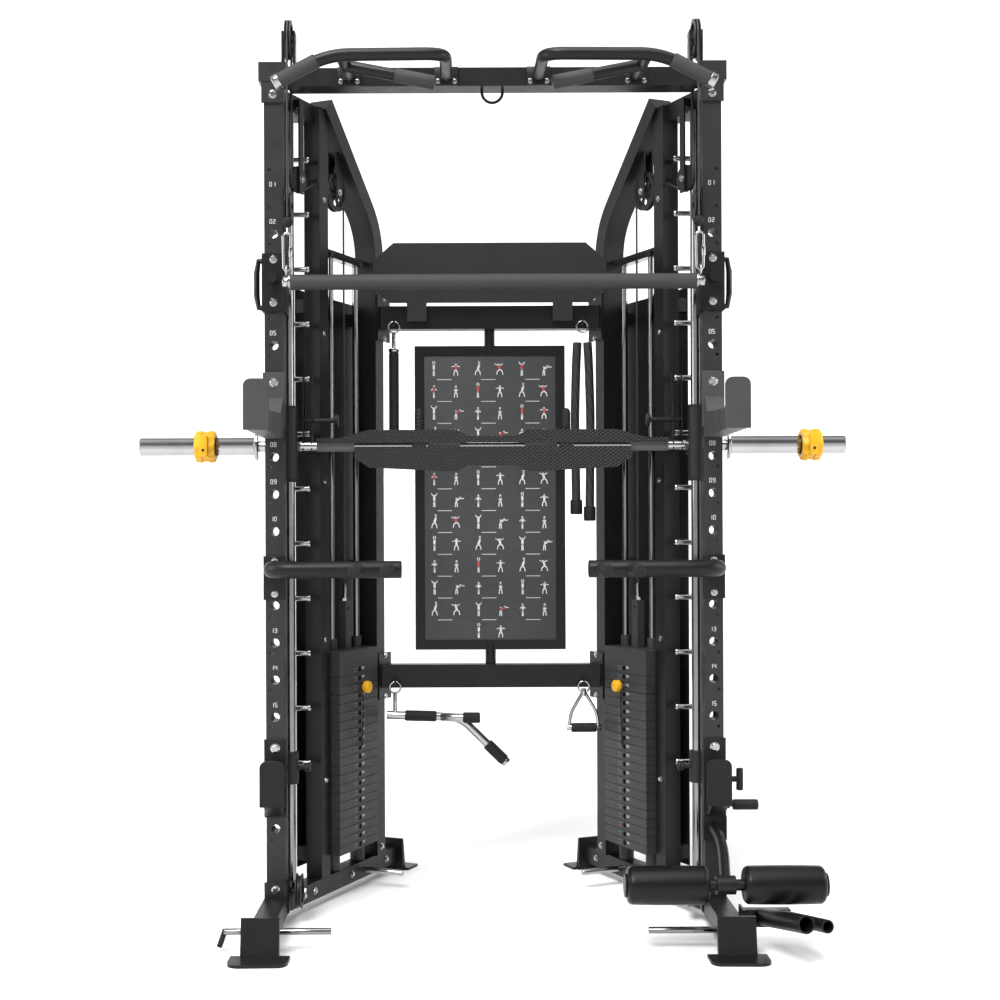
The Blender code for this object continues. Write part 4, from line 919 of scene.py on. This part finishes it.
def snap_link(name, top, length, width, wire, across=(1, 0, 0)):
    """A snap link: a wire carried round an outline, with a turned sleeve on one side.

    The outline is a half circle at each end of two straight sides, widening by a tenth upwards.
    """
    angle = np.linspace(0, 2 * math.pi, 40, endpoint=False)
    straight = length / 2 - width / 2
    sideways, upward = np.array(across, float), np.array((0.0, 0.0, 1.0))
    middle = np.array(top, float) - upward * length / 2
    rise = width / 2 * np.sin(angle) + np.sign(np.sin(angle)) * straight
    taper = 1 + 0.1 * rise / (length / 2)
    points = middle + sideways * (width / 2 * np.cos(angle) * taper)[:, None] + upward * rise[:, None]
    sleeve_low = middle + sideways * width / 2 - upward * length * 0.14
    sleeve_high = middle + sideways * width / 2 + upward * length * 0.12
    loop = tube_mesh("loop", points, wire, 16, closed=True)
    sleeve = rod_mesh("sleeve", sleeve_low, sleeve_high, wire * 1.5, 0.0006, 24)
    return join_meshes(name, [loop, sleeve])


def hook_ring(x, hole_z):
    """The open ring of a hook through a hole at hole_z: a wire carried round most of a circle."""
    link = arc_points((x, hole_z - HOOK_RING), HOOK_RING, 0, 345, 28)
    ring = np.column_stack([link[:, 0], np.full(len(link), HANG_Y), link[:, 1]])
    return tube_mesh("ring", ring, 0.003, 12, closed=True)


def dress_lat_bar():
    """The pull bar: a knurled tube between chrome end caps, hung on chrome snap links under cable balls."""
    shaft = tube_mesh("shaft", [(-0.540, LAT_Y, LAT_Z), (0.540, LAT_Y, LAT_Z)], 0.0205, 48, 0.003)
    bar = add_piece("pull_bar_tube", shaft, "pull_bar", KNURL)
    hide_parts("lat_bar")
    front_y = TOP_PULLEY[0] - TOP_PULLEY[2]
    chrome, balls = [], []
    cap = [(0, 0.5385), (0.0185, 0.5385), (0.0195, 0.540), (0.0195, 0.545), (0.0150, 0.547)]
    cap += [(0.0150, 0.558), (0.0135, 0.560), (0, 0.560)]
    lobe = np.linspace(0, math.pi, 17)
    ball = np.stack([0.0148 * np.sin(lobe), -0.0148 * np.cos(lobe)], 1)
    ball[:, 0] = np.maximum(ball[:, 0], 0)
    for s, _ in SIDES:
        chrome.append(turned_mesh("cap", cap, (0, LAT_Y, LAT_Z), (s, 0, 0), 40))
        x = s * CABLE_X
        eye = arc_points((LAT_Y + 0.001, LAT_Z + 0.030), 0.012, 0, 345, 24)
        ring = np.column_stack([np.full(len(eye), x), eye])
        chrome.append(tube_mesh("eye", ring, 0.0035, 12, closed=True))
        chrome.append(snap_link("link", (x, front_y - 0.014, 1.852), 0.100, 0.0195, 0.0036, (1, 0, 0)))
        chrome.append(rod_mesh("swivel", (x, front_y - 0.012, 1.846), (x, front_y, 1.875), 0.0052, 0.001, 20))
        balls.append(turned_mesh("ball", ball, (x, front_y, 1.885), (0, 0, 1), 36))
    add_piece("pull_bar_fittings", join_meshes("fittings", chrome), "pull_bar", CHROME)
    add_piece("cable_balls", join_meshes("balls", balls), "pull_bar", RUBBER)


def pad_rollers():
    """Foam rollers on their shaft, and the rubber fittings of the shaft's holder.

    A roller's section has a quarter circle at each end, and between them its radius falls off
    with the square of the distance from the middle.
    """
    low, high, edge, crowning = 0.0149, 0.0485, 0.014, 0.0012
    turn = np.linspace(0, math.pi / 2, 12)
    crown = np.linspace(-1, 1, 24)
    for name, start, end in (("inner_roller", 0.3215, 0.5245), ("outer_roller", 0.6135, 0.8165)):
        middle, half = (start + end) / 2, (end - start) / 2
        left = np.stack([high - edge + edge * np.sin(turn) - crowning, start + edge * (1 - np.cos(turn))], 1)
        top = np.stack([high - crowning * crown**2, middle + crown * (half - edge)], 1)
        right = left[::-1] * (1, -1) + (0, start + end)
        profile = np.vstack([[(low, start)], left, top[1:-1], right, [(low, end), (low, start)]])
        mesh = turned_mesh(name + "_foam", profile, (0, ROLLER_Y, ROLLER_Z), (1, 0, 0), 72)
        roller = add_piece(name + "_foam", mesh, name + "_body", FOAM)
        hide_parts(name)
    caps = []
    for x, s in ((0.3185, 1), (0.8195, -1)):
        profile = [(0, -0.002), (0.028, -0.002), (0.0300, 0.0), (0.0300, 0.001), (0.012, 0.0022), (0, 0.0022)]
        caps.append(turned_mesh("cap", profile, (x, ROLLER_Y, ROLLER_Z), (-s, 0, 0), 40))
    for z, start, end, radius in ((0.382, 0.6215, 0.640, 0.010), (0.313, 0.6215, 0.636, 0.010)):
        caps.append(rod_mesh("boss", (start, -0.110, z), (end, -0.110, z), radius, 0.001))
    caps.append(tube_mesh("lever_grip", [(0.645, -0.110, 0.313), (0.713, -0.110, 0.313)], 0.0142, 32, 0.004))
    caps.append(tube_mesh("tee", [(0.664, -0.110, 0.352), (0.664, -0.110, 0.412)], 0.0095, 32, 0.003))
    add_piece("roller_holder_fittings", join_meshes("caps", caps), "frame", RUBBER)


def ribbed_grip(start, end, radius, ribs):
    """A rubber grip from start to end: its radius follows a cosine, with ribs whole waves."""
    start, end = np.array(start, float), np.array(end, float)
    length, inset, depth = np.linalg.norm(end - start), 0.003, 0.0004
    along = np.linspace(inset, length - inset, ribs * 6)
    wave = radius - depth + depth * np.cos(2 * math.pi * ribs * along / length)
    foot, head = [(0, 0), (radius - inset, 0)], [(radius - inset, length), (0, length)]
    profile = np.vstack([foot, np.stack([wave, along], 1), head])
    return turned_mesh("grip", profile, start, end - start, 36)


def hang_straight_handle():
    """The straight handle: a hook ring, a rod and a long ribbed grip between two chrome ends."""
    x, y, top, low, body = HANDLE_X, HANG_Y, 1.598, 1.283, "straight_handle_body"
    metal = [hook_ring(x, UPPER_HOOK_Z), rod_mesh("rod", (x, y, 1.658), (x, y, 1.590), 0.006)]
    metal.append(turned_mesh("end", rod_profile(0.0162, 0, 0.008, 0.002), (x, y, low), (0, 0, -1)))
    metal.append(turned_mesh("top", rod_profile(0.0162, 0, 0.010, 0.002), (x, y, top), (0, 0, 1)))
    piece = add_piece("straight_handle_metal", join_meshes("metal", metal), body, CHROME)
    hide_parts("straight_handle")
    add_piece("straight_handle_grip", ribbed_grip((x, y, top), (x, y, low), 0.0155, 40), body, RUBBER)


def hang_angled_handle():
    """The angled handle: a bent bar and a short second arm, hung from a hook ring, with three grips."""
    x, y, body = HANDLE_X, HANG_Y, "angled_handle_body"
    bar = [(x - 0.025, y, 0.502), (-0.125, y, 0.496), (-0.085, y, 0.486), (0.045, y, 0.358)]
    arm = [(-0.150, y - 0.012, 0.497), (-0.10, y - 0.030, 0.497), (-0.036, y - 0.034, 0.497)]
    metal = [hook_ring(x, LOWER_HOOK_Z), rod_mesh("rod", (x, y, 0.570), (x, y, 0.505), 0.006)]
    metal.append(tube_mesh("bar", rounded(bar, 0.03, 10), 0.0125))
    metal.append(tube_mesh("arm", rounded(arm, 0.03, 10), 0.0123))
    metal.append(rod_mesh("end", (0.0395, y, 0.3635), (0.0475, y, 0.3555), 0.0150, 0.002))
    piece = add_piece("angled_handle_metal", join_meshes("metal", metal), body, CHROME)
    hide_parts("angled_handle")
    grips = [
        ribbed_grip((x + 0.03, y, 0.5003), (-0.165, y, 0.4975), 0.0165, 14),
        ribbed_grip((-0.012, y, 0.4141), (0.040, y, 0.363), 0.0175, 9),
        ribbed_grip((-0.085, y - 0.0315, 0.497), (-0.034, y - 0.0342, 0.497), 0.0165, 7),
    ]
    add_piece("angled_handle_grips", join_meshes("grips", grips), body, RUBBER)


def hang_stirrup():
    """The stirrup: two bent legs from a neck under a hook ring to a pin with a ribbed grip."""
    x, y, pin_z, body = ROPE_X, HANG_Y, 0.462, "stirrup_handle_body"
    metal = [hook_ring(x, LOWER_HOOK_Z), rod_mesh("neck", (x, y, 0.558), (x, y, 0.580), 0.008)]
    metal.append(rod_mesh("pin", (x - 0.052, y, pin_z), (x + 0.052, y, pin_z), 0.009))
    for s, _ in SIDES:
        leg = [(x, y, 0.574), (x + s * 0.040, y, 0.505), (x + s * 0.044, y, pin_z)]
        metal.append(tube_mesh("leg", rounded(leg, 0.02, 8), 0.005, 20))
    piece = add_piece("stirrup_metal", join_meshes("metal", metal), body, CHROME)
    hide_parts("stirrup_handle")
    grip = ribbed_grip((x - 0.038, y, pin_z), (x + 0.038, y, pin_z), 0.0145, 11)
    add_piece("stirrup_grip", grip, body, RUBBER)


def hang_rope():
    """The pull rope: two legs that leave one ring and hang to their stoppers, with twisted strands.

    A leg goes straight between the points of its route, smoothed by a running mean of 13 steps.
    """
    x, body, radius = ROPE_X, "pull_rope_body", 0.0133
    metal = add_piece("rope_ring", hook_ring(x, UPPER_HOOK_Z), body, CHROME)
    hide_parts("pull_rope")
    for s, side in SIDES:
        low = 1.112 if s < 0 else 1.092
        route = ((0.0145, 1.625), (0.0185, 1.580), (0.0235, 1.40), (0.020, low))
        knots = np.array([(x + s * out, z) for out, z in route])
        height = np.linspace(knots[0][1], knots[-1][1], 80)
        across = np.interp(height, knots[::-1, 1], knots[::-1, 0])
        across = np.convolve(np.pad(across, 6, "edge"), np.ones(13) / 13, "valid")
        path = np.stack([across, np.full(80, HANG_Y), height], 1)
        leg = tube_mesh("leg", path, radius, 32, 0.002)
        rope = add_piece(side + "_rope_leg", leg, body, TWIST)
        stopper = rod_mesh("stopper", path[-1] + (0, 0, 0.038), path[-1] - (0, 0, 0.006), 0.0183, 0.004, 40)
        end = add_piece(side + "_rope_stopper", stopper, body, RUBBER)


# ---------------------------------------------------------------- chart board, stacks and selectors


def figure_strokes(centre, kind):
    """One exercise figure as widths and lines: trunk, arms and legs whose angles step with its kind."""
    across, up = np.array((1.0, 0, 0)), np.array((0, 0, 1.0))

    def at(x, z):
        return centre + across * x * 0.001 + up * z * 0.001

    lean = math.radians((0, 0, 18, -14, 0, 55, 0, 0)[kind % 8])
    hip, neck = np.array((0.0, 1.0)), np.array((13 * math.sin(lean), 1 + 13 * math.cos(lean)))
    arm = math.radians((150, 95, 35, 60, 120, 20, 170, 75)[kind * 3 % 8])
    knee = math.radians((8, 14, 40, 22, 10, 30, 6, 50)[kind * 5 % 8])
    lines = [(hip, neck, 6.5), (neck, neck + (neck - hip) * 0.34, 4.6)]
    for s in (-1, 1):
        elbow = neck + 7 * np.array((s * math.sin(arm), -math.cos(arm)))
        hand = elbow + 6.5 * np.array((s * math.sin(arm * 1.3), -math.cos(arm * 1.3)))
        bend = hip + 10 * np.array((s * math.sin(knee), -math.cos(knee)))
        foot = bend + 10 * np.array((s * math.sin(knee * 0.2), -1))
        lines += [(neck, elbow, 2.8), (elbow, hand, 2.2), (hip, bend, 3.4), (bend, foot, 2.6)]
    return [((at(*start), at(*end)), width * 0.001) for start, end, width in lines]


def print_board():
    """The framed chart: a dull panel with rows of small printed figures and a rule under every other one."""
    board = eased_copy("chart_board", COAT, "board", 0.0015)
    board.name = "board_frame"
    face_y = BOARD_Y - 0.0087
    panel = block_mesh("panel", (-0.2003, face_y, 0.7243), (0.2003, face_y + 0.0008, 1.5917), 0.0003)
    add_piece("board_panel", panel, "board", PANEL)
    inks = {"white": [], "red": [], "grey": []}
    number, left_x, top_z, column_pitch, row_pitch = 0, -0.170, 1.548, 0.067, 0.0665
    for row in range(13):
        z = top_z - row_pitch * row
        columns = range(6) if row < 12 else (2, 3)
        for column in columns:
            x = left_x + column_pitch * column
            figure = figure_strokes(np.array((x, face_y, z)), number)
            worked = number % 5 in (1, 3) and row < 5 or number % 13 == 4
            for index, (line, width) in enumerate(figure):
                inks["red" if worked and index == 0 else "white"].append((line, width))
            number += 1
        for column in columns[::2]:
            x, low = left_x + column_pitch * column, z - 0.030
            line = (np.array((x + 0.010, face_y, low)), np.array((x + 0.054, face_y, low)))
            inks["grey"].append((line, 0.0022))
    materials = {"white": WHITE_INK, "red": RED_INK, "grey": GREY_INK}
    for ink, found in inks.items():
        lines, widths = zip(*found)
        mesh = flat_strokes(ink, lines, widths, (0, -1, 0), 0.0003)
        add_piece(f"board_{ink}_print", mesh, "board", materials[ink])


def mark_stacks():
    """On the inward face of every plate: its selector hole as a thin near-black disc of painted shade, a
    weight figure and two coloured dashes.

    The plate that holds the pin shows no hole.
    """
    # The thin disc of painted shade that stands where a selector hole's dark inside would be.
    dot = [(0, -0.001), (0.0072, -0.001), (0.0072, 0.0004), (0, 0.0004)]
    rise, pinned = np.array((0, 0, 0.004)), LIFTED_PLATES - 1
    finishes = {"white": GREY_INK, "green": DULL_GREEN_INK, "red": DULL_RED_INK}
    widths = {"white": 0.0011, "green": 0.0018, "red": 0.0018}
    for s, side in SIDES:
        outward = inward(s)
        across = (side_point(1, 0, 0, s) - side_point(0, 0, 0, s)) * -s
        for body, first, count, low in (
            (side + "_stack", 0, LIFTED_PLATES, STACK_BOTTOM_Z + LOWER_PLATES * PLATE_PITCH),
            ("frame", LIFTED_PLATES, LOWER_PLATES, STACK_BOTTOM_Z),
        ):
            inks = {"white": [], "green": [], "red": []}
            holes = []
            for step in range(count):
                plate = first + count - 1 - step
                z = low + PLATE_PITCH * (step + 0.5)
                middle = side_point(SELECTOR_T, 0.0502, z, s)
                weight = f"{5 * plate + 5:03d}"
                inks["white"] += digit_strokes(weight, middle + across * 0.013, across, (0, 0, 1), 0.0062)
                inks["green"].append((middle - across * 0.036 + rise, middle - across * 0.014 + rise))
                inks["red"].append((middle - across * 0.034 - rise, middle - across * 0.017 - rise))
                if plate != pinned:
                    holes.append(turned_mesh("hole", dot, middle, outward, 20))
            for ink, found in inks.items():
                mesh = flat_strokes(ink, found, widths[ink], outward, 0.0003)
                add_piece(f"{side}_{body}_{ink}_marks", mesh, body, finishes[ink])
            mesh = join_meshes("holes", holes)
            add_piece(f"{side}_{body}_selector_hole_shade", mesh, body, HOLE_SHADE)


def fit_selectors():
    """Selector pins: a chrome pin, a yellow knob and a short black lanyard.

    The lanyard drops 0.15 m, and sways sideways by 3.5 mm times the sine of its share of the drop.
    """
    pin = [(0, -0.028), (0.004, -0.028), (0.005, -0.026), (0.005, 0.052), (0.010, 0.0525)]
    pin += [(0.010, 0.066), (0, 0.066)]
    knob = [(0, 0.0645), (0.0135, 0.0645), (0.0165, 0.067), (0.0175, 0.071), (0.0175, 0.078)]
    knob += [(0.0165, 0.0825), (0.0135, 0.0850), (0.008, 0.0860), (0, 0.0860)]
    drop = np.linspace(0, 1, 30)
    swing = 0.0035 * np.sin(drop * math.pi * 1.5)
    height = 0.5905 - 0.150 * drop
    for s, side in SIDES:
        body, normal = side + "_pin", inward(s)
        origin = side_point(SELECTOR_T, 0, SELECTOR_Z, s)
        rod = turned_mesh("rod", pin, origin, normal, 32)
        metal = add_piece(side + "_selector_rod", rod, body, CHROME)
        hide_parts(side + "_selector_pin")
        mesh = turned_mesh("knob", knob, origin, normal, 48)
        add_piece(side + "_selector_knob", mesh, body, YELLOW)
        path = np.array([side_point(SELECTOR_T + shift, 0.0595, z, s) for shift, z in zip(swing, height)])
        mesh = tube_mesh("lanyard", path, 0.0022, 12, 0.0006)
        strap = add_piece(side + "_selector_lanyard", mesh, body, STRAP)
        tip = rod_mesh("tip", path[-1] + (0, 0, 0.004), path[-1] - (0, 0, 0.012), 0.0038, 0.001, 20)
        end = add_piece(side + "_lanyard_tip", tip, body, NYLON)


def end_cables():
    """A swaged chrome sleeve and a nut where each cable meets its stack's stem."""
    sleeve = [(0, 0), (0.0085, 0), (0.0085, 0.010), (0.0055, 0.012), (0.0055, 0.045), (0.0042, 0.048)]
    sleeve.append((0, 0.048))
    for s, side in SIDES:
        foot = side_point(CABLE_T, 0, STACK_STEM_Z, s)
        nut = turned_mesh("nut", [(0, 0.0), (0.0115, 0.0), (0.0115, 0.008), (0, 0.008)], foot, (0, 0, 1), 6)
        mesh = join_meshes("end", [turned_mesh("sleeve", sleeve, foot, (0, 0, 1), 28), nut])
        add_piece(side + "_cable_end", mesh, side + "_stack", CHROME)


def sleeve_band_pegs():
    """Chrome sleeves on the resistance-band pegs of the two front legs: the left one goes right through."""
    y, z = -0.395, 0.05
    spans_of = {"left": ((0.4195, 0.5597), (0.6203, 0.690)), "right": ((0.3795, 0.5597),)}
    for s, side in SIDES:
        spans = spans_of[side]
        meshes = [rod_mesh("peg", (s * a, y, z), (s * b, y, z), 0.0084, 0.0012, 28) for a, b in spans]
        add_piece(side + "_band_peg_sleeves", join_meshes("pegs", meshes), "frame", PAINTED_SHADE_CHROME)


def dress_trolleys():
    """Bolts on the two pulley trolleys and their wheels."""
    for s, side in SIDES:
        meshes = []
        for z in (1.672, 1.788):
            meshes += hex_bolt((s * UPRIGHT_X, -0.1513, z), (0, -1, 0), 0.0075, 0.006)
        meshes += hex_bolt((s * 0.5590, -0.1275, 1.935), (-s, 0, 0), 0.0075, 0.0045)
        mesh = join_meshes("bolts", meshes)
        add_piece(side + "_trolley_bolts", mesh, side + "_trolley_body", CHROME)


# ---------------------------------------------------------------- stage


def area_light(name, place, target, size, power, shade=(1.0, 1.0, 1.0)):
    """A soft square light at place, turned to look at target."""
    light = bpy.data.lights.new(name, "AREA")
    light.size = size
    light.energy = power
    light.color = shade
    lamp = bpy.data.objects.new(name, light)
    lamp.location = place
    aim = Vector(target) - Vector(place)
    lamp.rotation_euler = aim.to_track_quat("-Z", "Y").to_euler()
    bpy.context.scene.collection.objects.link(lamp)


def lay_floor():
    """A pale studio sweep: a flat floor that runs up into a wall far behind, through a quarter circle."""
    angle = np.linspace(0, math.pi / 2, 24)
    reach, bend, wall_top, half_width = 26.0, 6.0, 18.0, 34.0
    floor_y = np.concatenate([[-reach], reach + bend * np.sin(angle), [reach + bend]])
    floor_z = np.concatenate([[0.0], bend * (1 - np.cos(angle)), [wall_top]])
    row = np.stack([np.zeros_like(floor_y), floor_y, floor_z], -1)
    points = np.stack([row + (x, 0, 0) for x in (half_width, -half_width)], 1)
    mesh = bpy.data.meshes.new("studio_floor")
    i = np.arange(len(row) - 1)
    faces = np.stack([i * 2, i * 2 + 2, i * 2 + 3, i * 2 + 1], -1)
    mesh.from_pydata(points.reshape(-1, 3), [], faces.tolist())
    mesh.shade_smooth()
    material, tree, shader = new_material("floor_paint", (0.93, 0.93, 0.93), 0.0, 0.7)
    two_tone(tree, shader, noise(tree, place_of(tree), 0.6), (0.925, 0.925, 0.925), (0.94, 0.94, 0.94))
    mesh.materials.append(material)
    floor = bpy.data.objects.new("studio_floor", mesh)
    bpy.context.scene.collection.objects.link(floor)


def light_studio():
    """White surroundings with a duller band above the horizon, a soft key light and large lamps."""
    world = bpy.data.worlds.new("studio")
    world.use_nodes = True
    tree = world.node_tree
    split = tree.nodes.new("ShaderNodeSeparateXYZ")
    tree.links.new(place_of(tree, "Generated"), split.inputs["Vector"])
    band = tree.nodes.new("ShaderNodeValToRGB")
    ramp = band.color_ramp
    levels = ((0.0, 1.0), (0.16, 1.0), (0.30, 0.22), (0.70, 0.22), (0.86, 1.0))
    for index, (place, level) in enumerate(levels):
        stop = ramp.elements[index] if index < 2 else ramp.elements.new(place)
        stop.position = place
        stop.color = (level, level, level, 1)
    tree.links.new(split.outputs["Z"], band.inputs["Fac"])
    tree.links.new(band.outputs["Color"], tree.nodes["Background"].inputs["Color"])
    bpy.context.scene.world = world
    bpy.context.scene.view_settings.view_transform = "Standard"
    key = bpy.data.lights.new("key", "SUN")
    key.energy = 3.2
    key.angle = math.radians(25)
    lamp = bpy.data.objects.new("key", key)
    lamp.rotation_euler = (math.radians(42), 0, math.radians(-24))
    bpy.context.scene.collection.objects.link(lamp)
    area_light("overhead", (0.0, -1.2, 4.6), (0, 0, 1.0), 3.0, 90)
    area_light("left_side", (-3.6, -0.6, 2.2), (0, 0, 1.1), 2.0, 60)
    area_light("right_side", (3.6, -0.4, 2.2), (0, 0, 1.1), 2.0, 60)


def set_camera():
    """The camera stands in front at chest height, a little left of the middle."""
    data = bpy.data.cameras.new("camera")
    data.sensor_width = 36.0
    data.lens = 53.57
    data.shift_x = 0.039
    data.shift_y = 0.030
    camera = bpy.data.objects.new("camera", data)
    camera.location = (-0.089, -4.145, 1.06)
    camera.rotation_euler = (math.radians(90.0), math.radians(0.22), 0.0)
    bpy.context.scene.collection.objects.link(camera)
    bpy.context.scene.camera = camera


MAKERS = (
    ease_frame,
    bolt_frame,
    number_uprights,
    hang_pull_up_handles,
    raise_guide_rails,
    set_dip_handles,
    dress_bar,
    fit_collars,
    hang_pulleys,
    string_cables,
    dress_carriages,
    peg_catch_posts,
    dress_lat_bar,
    pad_rollers,
    hang_straight_handle,
    hang_angled_handle,
    hang_stirrup,
    hang_rope,
    print_board,
    mark_stacks,
    fit_selectors,
    end_cables,
    sleeve_band_pegs,
    dress_trolleys,
)
for make in MAKERS:
    make()
lay_floor()
light_studio()
set_camera()
